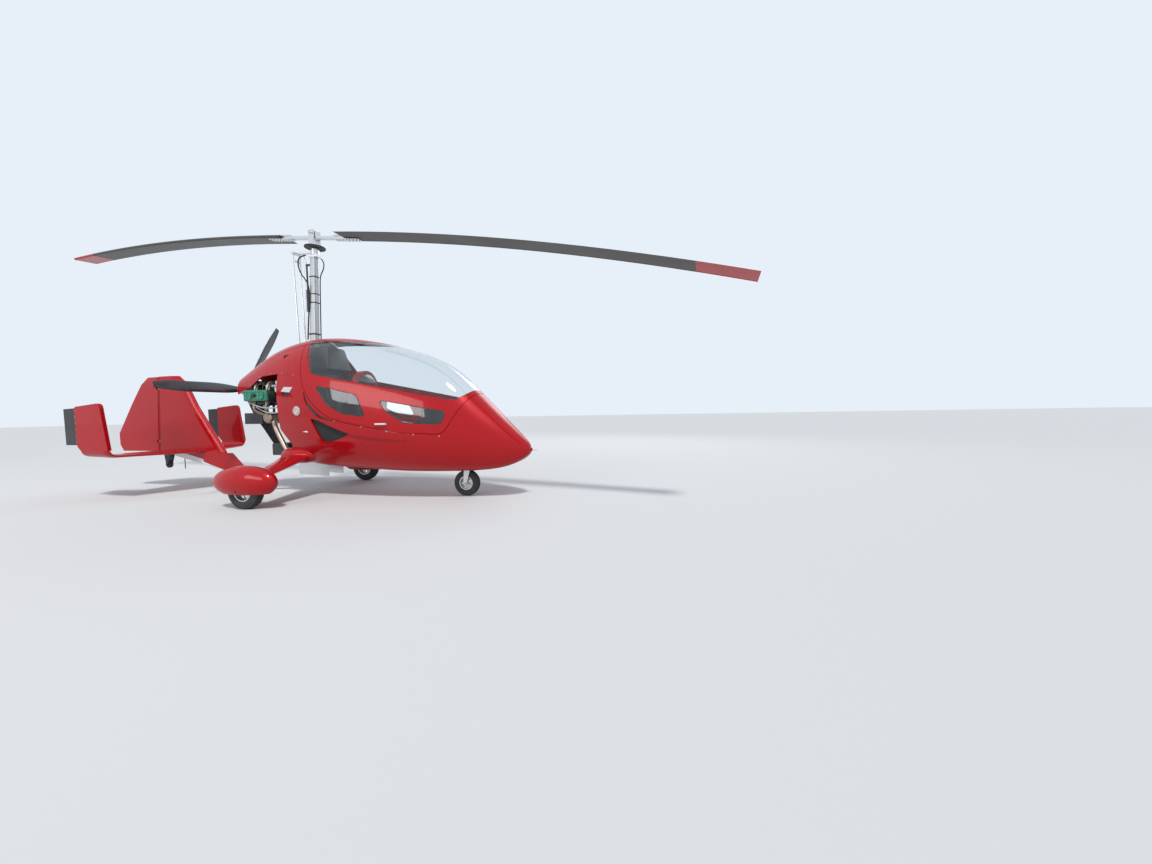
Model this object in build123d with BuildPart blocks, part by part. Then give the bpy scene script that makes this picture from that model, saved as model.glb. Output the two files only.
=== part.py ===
# Two-seat tandem gyrocopter, parked on its wheels, in millimetres.
# +X points forward to the nose, +Y to port, +Z up. The origin is on the ground, midway
# between the tips of the parked rotor, which is 12 mm behind the rotor's axis.
import os
from math import cos, radians, sin, sqrt

from build123d import *

os.makedirs("parts", exist_ok=True)

# Clearances
seam_gap = 6.0  # between the canopy and the hull
cut_room = 1.0  # round a piece that passes through a wall
skin_fit = 0.3  # between the body's paint and what sits on it
turn_gap = 6.0  # between a turning piece and what it passes
shaft_gap = 0.05  # a shaft in its bearing

# Undercarriage
main_axle_x = -110.0
half_track = 780.0
main_tyre_diameter = 330.0
main_tyre_width = 94.0
main_rim_diameter = 176.0
nose_axle_x = 1660.0
nose_tyre_diameter = 262.0
nose_tyre_width = 78.0
nose_rim_diameter = 130.0
steer_x = 1700.0
axle_radius = 10.0
tail_wheel_x = -2120.0
tail_wheel_z = 288.0
tail_wheel_diameter = 84.0
tail_wheel_width = 30.0
leg_root = (-50.0, 250.0, 436.0)
leg_tip = (10.0, 716.0, 306.0)
leg_root_chord = 330.0
leg_tip_chord = 190.0
leg_root_thickness = 72.0
leg_tip_thickness = 44.0
spat_centre = (-115.0, half_track, 243.0)
spat_radii = (335.0, 105.0, 150.0)
spat_wall = 8.0
spat_cut_z = 140.0

# Body shell
wall = 14.0
glass = 5.0
nose_x = 2337.0
firewall_x = -220.0
firewall_thickness = 12.0
bulkhead_x = 26.0
bulkhead_thickness = 10.0
bulkhead_top = 1500.0
bulkhead_foot = 474.0
floor_z = 372.0
floor_thickness = 12.0
nose_well_radius = 118.0

# Canopy hinge, along the port sill
hinge_y = 424.0
hinge_z = 716.0
hinge_pin_radius = 5.0

# Frame
keel_width = 58.0
keel_height = 66.0
keel_route = [(140.0, 388.0), (-330.0, 352.0), (-770.0, 178.0), (-1090.0, 206.0), (-1980.0, 424.0)]
keel_bend = 160.0
mast_foot = (-102.0, 452.0)
mast_collar = (-46.0, 1640.0)
mast_foot_size = (96.0, 74.0)
mast_top_size = (64.0, 54.0)

# Rotor head and rotor
head_x = 12.0
mast_top_z = 2500.0
ring_gear_z = 2606.0
ring_gear_radius = 96.0
ring_gear_thickness = 9.0
teeter_z = 2748.0
teeter_bolt_radius = 9.0
hub_bar_drop = 45.0
hub_bar_width = 52.0
hub_bar_thickness = 26.0
hub_bar_half_length = 440.0
cheek_thickness = 10.0
spindle_radius = 15.0
rotor_radius = 4395.0
blade_root_radius = 446.0
blade_chord = 218.0
blade_thickness = 27.0
blade_tip_length = 450.0
blade_droop = 290.0
rotor_tilt = 8.4  # the parked rotor lies nose down by this angle
rotor_turn = -7.8  # and its forward blade points to starboard by this angle

# Propeller and engine
prop_x = -966.0
prop_z = 1140.0
prop_radius = 860.0
prop_hub_radius = 62.0
prop_hub_length = 66.0
prop_turns = (180.0, 60.0, -60.0)
crank_z = 1048.0
engine_front_x = -345.0
engine_rear_x = -790.0
engine_half_width = 112.0
gearbox_rear_x = -882.0
prop_shaft_radius = 20.0
cylinder_xs = (-452.0, -602.0)
cylinder_radius = 56.0
head_y = 258.0
cover_y = 300.0

# Tail
rudder_top = (-2190.0, 1318.0)
rudder_bottom = (-2245.0, 440.0)
fin_half = 32.0
post_half = 21.0
tailplane_z = 452.0
tailplane_half = 17.0
outer_fin_y = 684.0
outer_fin_thickness = 34.0

# Body sections from tail to nose: x, bottom, widest height, top, half width
body_sections = [
    (-872.0, 940.0, 1120.0, 1288.0, 176.0),
    (-560.0, 640.0, 1080.0, 1470.0, 250.0),
    (firewall_x, 410.0, 1010.0, 1594.0, 326.0),
    (130.0, 330.0, 930.0, 1634.0, 388.0),
    (600.0, 296.0, 790.0, 1597.0, 412.0),
    (1100.0, 270.0, 685.0, 1482.0, 400.0),
    (1550.0, 268.0, 612.0, 1283.0, 346.0),
    (1900.0, 280.0, 550.0, 958.0, 264.0),
    (2160.0, 326.0, 500.0, 698.0, 176.0),
    (2290.0, 392.0, 472.0, 566.0, 92.0),
    (nose_x, 436.0, 466.0, 500.0, 40.0),
]
floor_share = 0.42  # flat part of the bottom, of the half width
crown_share = 0.10  # flat part of the top

# Side outlines on the body, as x and z. The canopy's runs past the roof.
above_roof = 1760.0
canopy_outline = [
    (14.0, above_roof),
    (22.0, 1590.0),
    (118.0, 1185.0),
    (340.0, 868.0),
    (560.0, 776.0),
    (1200.0, 662.0),
    (1585.0, 640.0),
    (1735.0, 890.0),
    (1862.0, 1060.0),
    (1862.0, above_roof),
]
bubble_outline = [
    (76.0, above_roof),
    (82.0, 1560.0),
    (232.0, 1236.0),
    (1690.0, 950.0),
    (1806.0, 1046.0),
    (1812.0, above_roof),
]
rear_window = [(289.0, 1124.0), (739.0, 1021.0), (838.0, 816.0), (634.0, 852.0), (433.0, 946.0)]
front_window = [(970.0, 967.0), (1612.0, 846.0), (1564.0, 734.0), (1170.0, 757.0)]
cowl_outline = [
    (-900.0, above_roof),
    (-900.0, 1066.0),
    (-650.0, 1140.0),
    (-470.0, 1246.0),
    (-224.0, 1258.0),
    (-10.0, 1229.0),
    (150.0, 1150.0),
    (150.0, above_roof),
]
duct_outline = [(236.0, 796.0), (322.0, 766.0), (398.0, 590.0), (330.0, 584.0)]


def body_section(row, inset):
    """One section of the body: flat bottom and crown joined by elliptical quarters."""
    x, bottom, middle, top, half = row
    low = bottom + inset
    high = top - inset
    side = half - inset
    flat = side * floor_share
    crown = side * crown_share
    with BuildSketch(Plane(origin=(x, 0, 0), x_dir=(0, 1, 0), z_dir=(1, 0, 0))) as section:
        with BuildLine():
            Line((-flat, low), (flat, low))
            EllipticalCenterArc((flat, middle), side - flat, middle - low, start_angle=-90)
            EllipticalCenterArc((crown, middle), side - crown, high - middle, start_angle=0)
            Line((crown, high), (-crown, high))
            EllipticalCenterArc((-crown, middle), side - crown, high - middle, start_angle=90)
            EllipticalCenterArc((-flat, middle), side - flat, middle - low, start_angle=180)
        make_face()
    return section.sketch


def body_envelope(inset):
    """The whole body as one closed form, drawn in from the outside by an inset."""
    with BuildPart() as envelope:
        loft(sections=[body_section(row, inset) for row in body_sections])
        if inset > 0:
            split(bisect_by=Plane.YZ.offset(nose_x - 1.5 * inset), keep=Keep.BOTTOM)
    return envelope.part


def side_block(outline, radius, grow=0.0, y_from=-600.0, y_to=600.0):
    """A block across the body whose side view is the outline, with rounded corners."""
    with BuildPart() as block:
        with BuildSketch(Plane.XZ.offset(-y_to)):
            with BuildLine():
                FilletPolyline(*outline, radius=radius, close=True)
            make_face()
            if grow > 0:
                offset(amount=grow)
        extrude(amount=y_to - y_from)
    return block.part


def ellipsoid(centre, radii):
    """A solid egg form with its three half lengths along X, Y and Z."""
    with BuildPart() as egg:
        Sphere(1)
        scale(by=radii)
    return egg.part.moved(Location(centre))


def rod(start, end, radius):
    """A straight round rod between two points."""
    reach = Vector(*end) - Vector(*start)
    with BuildPart() as stick:
        with BuildSketch(Plane(origin=start, z_dir=reach)):
            Circle(radius)
        extrude(amount=reach.length)
    return stick.part


def bent_tube(points, radius, bend):
    """A round tube along straight runs joined by arcs."""
    with BuildPart() as tube:
        with BuildLine() as route:
            FilletPolyline(*points, radius=bend)
        with BuildSketch(Plane(origin=route.line @ 0, z_dir=route.line % 0)):
            Circle(radius)
        sweep()
    return tube.part


def save(piece, name):
    """Label a finished piece and write it."""
    piece.label = name
    export_step(piece, f"parts/{name}.step")


# Body forms that the panels are cut from
outer_body = body_envelope(0)
skin_body = body_envelope(-skin_fit)
inner_body = body_envelope(wall)
pane_body = body_envelope(glass)
body_shell = outer_body - inner_body
canopy_block = side_block(canopy_outline, 40)
canopy_hole = side_block(canopy_outline, 40, grow=seam_gap)
bubble_block = side_block(bubble_outline, 40)
window_blocks = [side_block(rear_window, 28), side_block(front_window, 24)]
cowl_block = side_block(cowl_outline, 30)

# Keel: a square beam from under the cabin, dipping below the propeller, up to the fin.
with BuildPart() as keel_beam:
    with BuildLine(Plane.XZ) as keel_line:
        FilletPolyline(*keel_route, radius=keel_bend)
    keel_start = keel_line.line @ 0
    keel_heading = keel_line.line % 0
    with BuildSketch(Plane(origin=keel_start, x_dir=(0, 1, 0), z_dir=keel_heading)):
        RectangleRounded(keel_width, keel_height, 8)
    sweep()
save(keel_beam.part, "keel_beam")

# Gear legs: one composite bow across the body, as a tapering faired blade on each side.
leg_stations = [
    # point, chord, thickness
    (leg_root, leg_root_chord, leg_root_thickness),
    (leg_tip, leg_tip_chord, leg_tip_thickness),
]
with BuildPart() as gear_legs:
    for side in (-1, 1):
        for (x, y, z), chord, thickness in leg_stations:
            with BuildSketch(Plane(origin=(x, side * y, z), x_dir=(1, 0, 0), z_dir=(0, side, 0))):
                Ellipse(chord / 2, thickness / 2)
        loft()
    with BuildSketch(Plane(origin=(leg_root[0], 0, leg_root[2]), x_dir=(1, 0, 0), z_dir=(0, 1, 0))):
        Ellipse(leg_root_chord / 2, leg_root_thickness / 2)
    extrude(amount=leg_root[1], both=True)
    add(keel_beam.part, mode=Mode.SUBTRACT)
save(gear_legs.part, "gear_legs")

# Hull: the tub below the canopy, open behind the firewall, with bulges round the leg roots,
# a duct in each flank and a well for the nose leg.
with BuildPart() as hull:
    add(outer_body)
    for side in (-1, 1):
        add(ellipsoid((leg_root[0], side * 236, 430), (235, 112, 84)))
    add(inner_body, mode=Mode.SUBTRACT)
    add(canopy_hole, mode=Mode.SUBTRACT)
    add(side_block(cowl_outline, 30, grow=cut_room), mode=Mode.SUBTRACT)
    with Locations((firewall_x - 500, 0, 800)):
        Box(1000, 1200, 2000, mode=Mode.SUBTRACT)
    add(side_block(duct_outline, 12), mode=Mode.SUBTRACT)
    with Locations((steer_x, 0, 275)):
        Cylinder(nose_well_radius, 150, mode=Mode.SUBTRACT)
    add(gear_legs.part, mode=Mode.SUBTRACT)
    add(keel_beam.part, mode=Mode.SUBTRACT)
save(hull.part, "hull")

# Canopy frame: the painted arch that carries the bubble and the side windows.
with BuildPart() as canopy_frame:
    add(body_shell)
    add(canopy_block, mode=Mode.INTERSECT)
    add(bubble_block, mode=Mode.SUBTRACT)
    for block in window_blocks:
        add(block, mode=Mode.SUBTRACT)
save(canopy_frame.part, "canopy_frame")

# Bubble: one clear pane over both seats, flush with the frame's outside.
pane_shell = outer_body - pane_body
with BuildPart() as canopy_bubble:
    add(pane_shell)
    add(canopy_block, mode=Mode.INTERSECT)
    add(bubble_block, mode=Mode.INTERSECT)
save(canopy_bubble.part, "canopy_bubble")

# Side windows: two clear panes on each side, in the frame below the bubble.
with BuildPart() as side_windows:
    add(pane_shell)
    add(window_blocks[0] + window_blocks[1], mode=Mode.INTERSECT)
save(side_windows.part, "side_windows")

# Upper cowl: the roof behind the canopy, tapering over the engine to the propeller.
with BuildPart() as upper_cowl:
    add(body_shell)
    add(cowl_block, mode=Mode.INTERSECT)
    add(canopy_hole, mode=Mode.SUBTRACT)
mast_lean = (mast_collar[0] - mast_foot[0]) / (mast_collar[1] - mast_foot[1])
mast_top_x = mast_collar[0] + (mast_top_z - mast_collar[1]) * mast_lean

# Mast: a tapering box tube from the keel up through the cowl to the rotor head.
with BuildPart() as mast:
    for (x, z), (length, width) in (
        (mast_foot, mast_foot_size),
        ((mast_top_x, mast_top_z), mast_top_size),
    ):
        with BuildSketch(Plane.XY.offset(z)):
            with Locations((x, 0)):
                RectangleRounded(length, width, 14)
    loft()
    add(gear_legs.part, mode=Mode.SUBTRACT)
save(mast.part, "mast")

rod_top = (-222.0, 2548.0)
rod_bottom = (-196.0, 1500.0)
rod_y = 42.0
rod_radius = 9.0
with BuildPart() as cowl_holes:
    with Locations((mast_collar[0], 0, mast_collar[1])):
        Box(mast_foot_size[0] + 8, mast_foot_size[1] + 8, 200)
    with Locations((rod_bottom[0] - 2, 0, rod_bottom[1] + 80)):
        Box(2 * rod_radius + 14, 2 * (rod_y + rod_radius) + 10, 200)
with BuildPart() as cut_cowl:
    add(upper_cowl.part)
    add(cowl_holes.part, mode=Mode.SUBTRACT)
save(cut_cowl.part, "upper_cowl")

# Floor, rear bulkhead and firewall: flat panels that meet the shell all round.
with BuildPart() as cabin_floor:
    with Locations((1005, 0, floor_z + floor_thickness / 2)):
        Box(1710, 900, floor_thickness)
    add(inner_body, mode=Mode.INTERSECT)
    with Locations((steer_x, 0, floor_z)):
        Cylinder(24, 60, mode=Mode.SUBTRACT)
save(cabin_floor.part, "cabin_floor")

with BuildPart() as rear_bulkhead:
    with Locations((bulkhead_x - bulkhead_thickness / 2, 0, bulkhead_top)):
        Box(bulkhead_thickness, 900, bulkhead_top - bulkhead_foot, align=(Align.CENTER, Align.CENTER, Align.MAX))
    add(inner_body, mode=Mode.INTERSECT)
save(rear_bulkhead.part, "rear_bulkhead")

with BuildPart() as firewall:
    with Locations((firewall_x + firewall_thickness / 2, 0, 840)):
        Box(firewall_thickness, 900, 820)
    add(inner_body, mode=Mode.INTERSECT)
    add(keel_beam.part, mode=Mode.SUBTRACT)
    add(gear_legs.part, mode=Mode.SUBTRACT)
save(firewall.part, "firewall")

# Seats: a pan and a reclined back each, in one laminate shell, with cushions of their own.
seat_width = 400.0
seat_shell = 20.0
cushion = 60.0
cushion_fit = 0.5
seat_foot_z = floor_z + floor_thickness
seat_table = [
    # name, pan front x, pan rear x, pan top z, back top x, back top z
    ("front_seat", 1120.0, 700.0, 520.0, 590.0, 1090.0),
    ("rear_seat", 520.0, 124.0, 610.0, 62.0, 1270.0),
]
with BuildPart() as seats:
    for name, front_x, rear_x, top_z, back_x, back_z in seat_table:
        with BuildSketch(Plane.XZ.offset(-seat_width / 2)):
            Polygon(
                (front_x, seat_foot_z),
                (front_x, top_z - cushion),
                (rear_x, top_z - cushion - 20),
                (back_x, back_z),
                (back_x - seat_shell, back_z),
                (rear_x - seat_shell, seat_foot_z),
                align=None,
            )
        extrude(amount=seat_width)
    add(gear_legs.part, mode=Mode.SUBTRACT)
    add(keel_beam.part, mode=Mode.SUBTRACT)
save(seats.part, "seats")

for name, front_x, rear_x, top_z, back_x, back_z in seat_table:
    with BuildPart() as pad:
        with BuildSketch(Plane.XZ.offset(-seat_width / 2 + 12)):
            Polygon(
                (front_x - 4, top_z - cushion + cushion_fit),
                (front_x - 4, top_z),
                (rear_x + cushion, top_z - 20),
                (back_x + cushion, back_z - 40),
                (back_x + 1, back_z - 40),
                (rear_x + 1, top_z - cushion - 19),
                align=None,
            )
        extrude(amount=seat_width - 24)
        add(seats.part, mode=Mode.SUBTRACT)
    save(pad.part, name + "_cushion")

# Headrest fairing: the painted arch behind the front seat's back.
arch_x = 569.5
with BuildPart() as headrest_arch:
    with BuildSketch(Plane.YZ.offset(arch_x)):
        with BuildLine():
            Line((-190, 1020), (190, 1020))
            Line((190, 1020), (150, 1190))
            ThreePointArc((150, 1190), (0, 1290), (-150, 1190))
            Line((-150, 1190), (-190, 1020))
        make_face()
    extrude(amount=-60)
save(headrest_arch.part, "headrest_arch")

# Instrument pod: a pedestal, a panel face and the hood over it.
with BuildPart() as instrument_pod:
    with BuildSketch(Plane.XZ.offset(-190)):
        Polygon(
            (1300, 700), (1290, 900), (1420, 918), (1560, 850), (1540, 700), (1440, 640),
            (1440, floor_z + floor_thickness), (1380, floor_z + floor_thickness), (1360, 660),
            align=None,
        )
    extrude(amount=380)
save(instrument_pod.part, "instrument_pod")

with BuildPart() as control_sticks:
    for x, low, high in ((1010, 384, 760), (430, 384, 820)):
        add(rod((x + 180, 0, low), (x + 130, 0, high), 11))
    add(cabin_floor.part, mode=Mode.SUBTRACT)
save(control_sticks.part, "control_sticks")

# Nose leg: a strut tube fixed to the floor carries the fork, which steers about an upright axis.
strut_radius = 24.0
strut_bore = 14.0 + shaft_gap
steer_radius = 14.0
strut_top = 560.0
with BuildPart() as nose_strut:
    with Locations((steer_x, 0, 340)):
        Cylinder(strut_radius, strut_top - 340, align=(Align.CENTER, Align.CENTER, Align.MIN))
    with Locations((steer_x, 0, floor_z + floor_thickness)):
        Cylinder(58, 14, align=(Align.CENTER, Align.CENTER, Align.MIN))
    with Locations((steer_x, 0, 300)):
        Cylinder(strut_bore, 400, align=(Align.CENTER, Align.CENTER, Align.MIN), mode=Mode.SUBTRACT)
save(nose_strut.part, "nose_strut")

nose_axle_z = nose_tyre_diameter / 2
fork_y = nose_tyre_width / 2 + 14
with BuildPart() as nose_fork:
    with Locations((steer_x, 0, 300)):
        Cylinder(steer_radius, strut_top + 10 - 300, align=(Align.CENTER, Align.CENTER, Align.MIN))
    with Locations(((steer_x + nose_axle_x) / 2 + 6, 0, 303)):
        Box(96, 2 * fork_y + 10, 24)
    for side in (-1, 1):
        with BuildSketch(Plane.XZ.offset(-side * fork_y)):
            with BuildLine():
                Polyline(
                    (steer_x + 28, 300), (nose_axle_x + 16, nose_axle_z), (nose_axle_x - 16, nose_axle_z),
                    (steer_x - 46, 300), close=True,
                )
            make_face()
            with Locations((nose_axle_x, nose_axle_z)):
                Circle(16)
        extrude(amount=4, both=True)
    with Locations(Location((nose_axle_x, 0, nose_axle_z), (90, 0, 0))):
        Cylinder(axle_radius, 2 * fork_y + 24)
    with Locations(Location((nose_axle_x, 0, nose_axle_z), (90, 0, 0))):
        Cylinder(5.5, 2 * fork_y + 60, mode=Mode.SUBTRACT)
save(nose_fork.part, "nose_fork")


def make_wheel(x, y, z, diameter, width, rim, names, spokes):
    """A tyre and a dished rim with openings, turning on its axle along Y."""
    rim_name, tyre_name = names
    at = Plane(origin=(x, y, z), x_dir=(1, 0, 0), z_dir=(0, 0, 1))
    axle = Axis((x, y, z), (0, 1, 0))
    outer = diameter / 2
    seat = rim / 2
    bulge = width / 2
    bead = bulge * 0.72
    shoulder = (outer - width * 0.16, bulge * 0.74)
    with BuildPart() as tyre:
        with BuildSketch(at):
            with BuildLine():
                Line((seat, -bead), (seat, bead))
                ThreePointArc((seat, bead), ((outer + seat) / 2, bulge), shoulder)
                ThreePointArc(shoulder, (outer, 0), (shoulder[0], -shoulder[1]))
                ThreePointArc((shoulder[0], -shoulder[1]), ((outer + seat) / 2, -bulge), (seat, -bead))
            make_face()
        revolve(axis=axle)
    save(tyre.part, tyre_name)
    half = width / 2 * 0.72
    with BuildPart() as wheel:
        with BuildSketch(at):
            Polygon(
                (rim / 2, -half), (rim / 2, half), (rim / 2 + 6, half + 5), (rim / 2 - 6, half + 5),
                (rim / 2 - 10, half - 10), (rim / 2 - 10, 5), (30, 8), (30, half + 4),
                (axle_radius + shaft_gap, half + 4), (axle_radius + shaft_gap, -half - 4),
                (30, -half - 4), (30, -3), (rim / 2 - 10, -5), (rim / 2 - 10, -half + 10),
                (rim / 2 - 6, -half - 5), (rim / 2 + 6, -half - 5),
                align=None,
            )
        revolve(axis=axle)
        with BuildSketch(Plane(origin=(x, y, z), x_dir=(1, 0, 0), z_dir=(0, 1, 0))):
            with PolarLocations((rim / 2 + 20) / 2, spokes):
                Circle(rim / 2 * 0.19)
        extrude(amount=20, both=True, mode=Mode.SUBTRACT)
        add(tyre.part, mode=Mode.SUBTRACT)
    save(wheel.part, rim_name)


make_wheel(nose_axle_x, 0, nose_axle_z, nose_tyre_diameter, nose_tyre_width, nose_rim_diameter,
           ("nose_rim", "nose_tyre"), 5)
main_axle_z = main_tyre_diameter / 2
for side, word in ((1, "left"), (-1, "right")):
    make_wheel(main_axle_x, side * half_track, main_axle_z, main_tyre_diameter, main_tyre_width,
               main_rim_diameter, (f"main_rim_{word}", f"main_tyre_{word}"), 6)

# Axle carriers: a plate inside each spat from the leg's tip down to the stub axle.
plate_y = leg_tip[1] - 6
plate_thickness = 12.0
with BuildPart() as axle_carriers:
    for side in (-1, 1):
        with BuildSketch(Plane.XZ.offset(-side * plate_y)):
            with BuildLine():
                Polyline(
                    (main_axle_x - 26, main_axle_z - 6), (main_axle_x - 30, main_axle_z + 90),
                    (leg_tip[0] - 30, leg_tip[2] + 22), (leg_tip[0] + 30, leg_tip[2] - 10),
                    (main_axle_x + 28, main_axle_z - 6), close=True,
                )
            make_face()
            with Locations((main_axle_x, main_axle_z)):
                Circle(24)
        extrude(amount=plate_thickness / 2, both=True)
        add(rod((main_axle_x, side * plate_y, main_axle_z), (main_axle_x, side * (half_track + 45), main_axle_z),
                axle_radius))
    add(gear_legs.part, mode=Mode.SUBTRACT)
save(axle_carriers.part, "axle_carriers")

# Spats: an egg-shaped shell round each main wheel, open below and let over the leg.
with BuildPart() as spats:
    for side in (-1, 1):
        centre = (spat_centre[0], side * spat_centre[1], spat_centre[2])
        add(ellipsoid(centre, spat_radii))
        add(ellipsoid(centre, tuple(r - spat_wall for r in spat_radii)), mode=Mode.SUBTRACT)
        with Locations((spat_centre[0], centre[1], spat_cut_z)):
            Box(900, 400, 200, align=(Align.CENTER, Align.CENTER, Align.MAX), mode=Mode.SUBTRACT)
    add(gear_legs.part, mode=Mode.SUBTRACT)
    add(axle_carriers.part, mode=Mode.SUBTRACT)
save(spats.part, "spats")

# Tail fin: a swept fin whose foot runs forward as a fairing round the keel.
fin_sections = [
    # z, leading edge x
    (300.0, -1236.0), (440.0, -1290.0), (640.0, -1424.0), (960.0, -1636.0), (1230.0, -1782.0), (1318.0, -1890.0),
]
rudder_lean = (rudder_top[0] - rudder_bottom[0]) / (rudder_top[1] - rudder_bottom[1])


def hinge_x(z):
    """Where the rudder's hinge line is at a height."""
    return rudder_bottom[0] + (z - rudder_bottom[1]) * rudder_lean


with BuildPart() as tail_fin:
    for z, front_x in fin_sections:
        rear_x = hinge_x(z) + post_half + turn_gap
        with BuildSketch(Plane.XY.offset(z)):
            with BuildLine():
                Line((rear_x, -post_half), (front_x - 90, -fin_half))
                EllipticalCenterArc((front_x - 90, 0), 90, fin_half, start_angle=-90, arc_size=180)
                Line((front_x - 90, fin_half), (rear_x, post_half))
                Line((rear_x, post_half), (rear_x, -post_half))
            make_face()
    loft(ruled=True)
    with BuildSketch(Plane.XZ):
        Polygon((-1000, 100), (-1050, 200), (-1300, 238), (-1620, 336), (-1900, 410), (-2400, 420), (-2400, 100),
                align=None)
    extrude(amount=300, both=True, mode=Mode.SUBTRACT)
    with BuildSketch(Plane.XZ):
        Polygon((-1052, 232), (-1240, 420), (-1500, 420), (-1500, 300), (-1300, 238), (-1076, 170), align=None)
    extrude(amount=keel_width / 2 + 5, both=True)
    add(keel_beam.part, mode=Mode.SUBTRACT)
save(tail_fin.part, "tail_fin")

rudder_hinge_zs = (560.0, 1180.0)
hinge_slot = 20.0
hinge_slot_reach = 44.0
rudder_lug_radius = 9.0
rudder_pin_radius = 5.0
rudder_pin_length = 60.0


def rudder_joint(z):
    """The place of a rudder hinge at a height, with its axis along the hinge line."""
    return Plane(origin=(hinge_x(z), 0, z), x_dir=(1, 0, -rudder_lean), z_dir=(rudder_lean, 0, 1)).location


# Rudder: hung on the fin's post, wedge shaped to a thin trailing edge.
rudder_sections = [
    # z, trailing edge x
    (446.0, -2800.0), (520.0, -2846.0), (657.0, -2850.0), (1010.0, -2620.0), (1230.0, -2462.0), (1314.0, -2352.0),
]
with BuildPart() as rudder:
    for z, trail_x in rudder_sections:
        x = hinge_x(z)
        with BuildSketch(Plane.XY.offset(z)):
            with BuildLine():
                CenterArc((x, 0), post_half, -90, 180)
                Line((x, post_half), (trail_x, 3))
                Line((trail_x, 3), (trail_x, -3))
                Line((trail_x, -3), (x, -post_half))
            make_face()
    loft(ruled=True)
    for z in rudder_hinge_zs:
        with Locations(rudder_joint(z)):
            with Locations((hinge_slot_reach / 2 - post_half, 0, 0)):
                Box(hinge_slot_reach, 3 * post_half, hinge_slot, mode=Mode.SUBTRACT)
            Cylinder(rudder_pin_radius + shaft_gap, rudder_pin_length + 2, mode=Mode.SUBTRACT)
save(rudder.part, "rudder")

# Rudder hinges: a plate on the fin's post at each slot, with the pin that the rudder turns on.
with BuildPart() as rudder_hinges:
    for z in rudder_hinge_zs:
        with Locations(rudder_joint(z)):
            with Locations((post_half / 2 + turn_gap / 2, 0, 0)):
                Box(post_half + turn_gap, 2 * rudder_lug_radius, hinge_slot - 2 * turn_gap)
            Cylinder(rudder_lug_radius, hinge_slot - 2 * turn_gap)
            Cylinder(rudder_pin_radius, rudder_pin_length)
    add(tail_fin.part, mode=Mode.SUBTRACT)
save(rudder_hinges.part, "rudder_hinges")

# Stabiliser: low on the fin, in two halves, and the outer fins on its ends.
plane_root = (-1520.0, -2190.0)
plane_tip = (-1850.0, -2190.0)
with BuildPart() as outer_fins:
    for side in (-1, 1):
        with BuildSketch(Plane.XZ.offset(-side * outer_fin_y)):
            with BuildLine():
                FilletPolyline(
                    (-1836, 436), (-1918, 994), (-2252, 962), (-2252, 560), (-2200, 436), radius=30, close=True
                )
            make_face()
        extrude(amount=outer_fin_thickness / 2, both=True)
save(outer_fins.part, "outer_fins")

with BuildPart() as stabiliser:
    for side in (-1, 1):
        for y, (front_x, rear_x), half in ((8, plane_root, 22.0), (outer_fin_y, plane_tip, tailplane_half)):
            with BuildSketch(Plane(origin=(0, side * y, tailplane_z), x_dir=(1, 0, 0), z_dir=(0, side, 0))):
                with BuildLine():
                    Line((rear_x, -4), (front_x - 80, -half))
                    EllipticalCenterArc((front_x - 80, 0), 80, half, start_angle=-90, arc_size=180)
                    Line((front_x - 80, half), (rear_x, 4))
                    Line((rear_x, 4), (rear_x, -4))
                make_face()
        loft()
    add(tail_fin.part, mode=Mode.SUBTRACT)
    add(keel_beam.part, mode=Mode.SUBTRACT)
    add(outer_fins.part, mode=Mode.SUBTRACT)
save(stabiliser.part, "stabiliser")

# Fin panels: the dark trailing panels of the outer fins.
with BuildPart() as fin_panels:
    for side in (-1, 1):
        with BuildSketch(Plane.XZ.offset(-side * outer_fin_y)):
            with BuildLine():
                Polyline((-2252, 948), (-2408, 940), (-2404, 572), (-2252, 572), close=True)
            make_face()
        extrude(amount=10, both=True)
    add(outer_fins.part, mode=Mode.SUBTRACT)
save(fin_panels.part, "fin_panels")

# Tail wheel: a small bumper wheel in a bracket below the keel's end, and an aerial rod before it.
with BuildPart() as tail_bracket:
    for side in (-1, 1):
        with BuildSketch(Plane.XZ.offset(-side * (tail_wheel_width / 2 + 6))):
            Polygon((tail_wheel_x - 14, tail_wheel_z), (tail_wheel_x - 40, 418), (tail_wheel_x + 60, 418),
                    (tail_wheel_x + 14, tail_wheel_z), align=None)
        extrude(amount=3, both=True)
    with Locations((tail_wheel_x + 10, 0, 414)):
        Box(100, tail_wheel_width + 18, 20)
    with Locations(Location((tail_wheel_x, 0, tail_wheel_z), (90, 0, 0))):
        Cylinder(6, tail_wheel_width + 30)
    add(stabiliser.part, mode=Mode.SUBTRACT)
    add(tail_fin.part, mode=Mode.SUBTRACT)
    add(keel_beam.part, mode=Mode.SUBTRACT)
save(tail_bracket.part, "tail_bracket")

with BuildPart() as tail_wheel:
    with Locations(Location((tail_wheel_x, 0, tail_wheel_z), (90, 0, 0))):
        Cylinder(tail_wheel_diameter / 2, tail_wheel_width)
        Cylinder(6 + shaft_gap, tail_wheel_width, mode=Mode.SUBTRACT)
    fillet(tail_wheel.edges().filter_by(GeomType.CIRCLE).group_by(SortBy.RADIUS)[-1], 8)
save(tail_wheel.part, "tail_wheel")

with BuildPart() as aerial_rod:
    add(rod((-1890, 0, 236), (-1890, 0, 440), 4))
    add(tail_fin.part, mode=Mode.SUBTRACT)
    add(keel_beam.part, mode=Mode.SUBTRACT)
save(aerial_rod.part, "aerial_rod")

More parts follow.
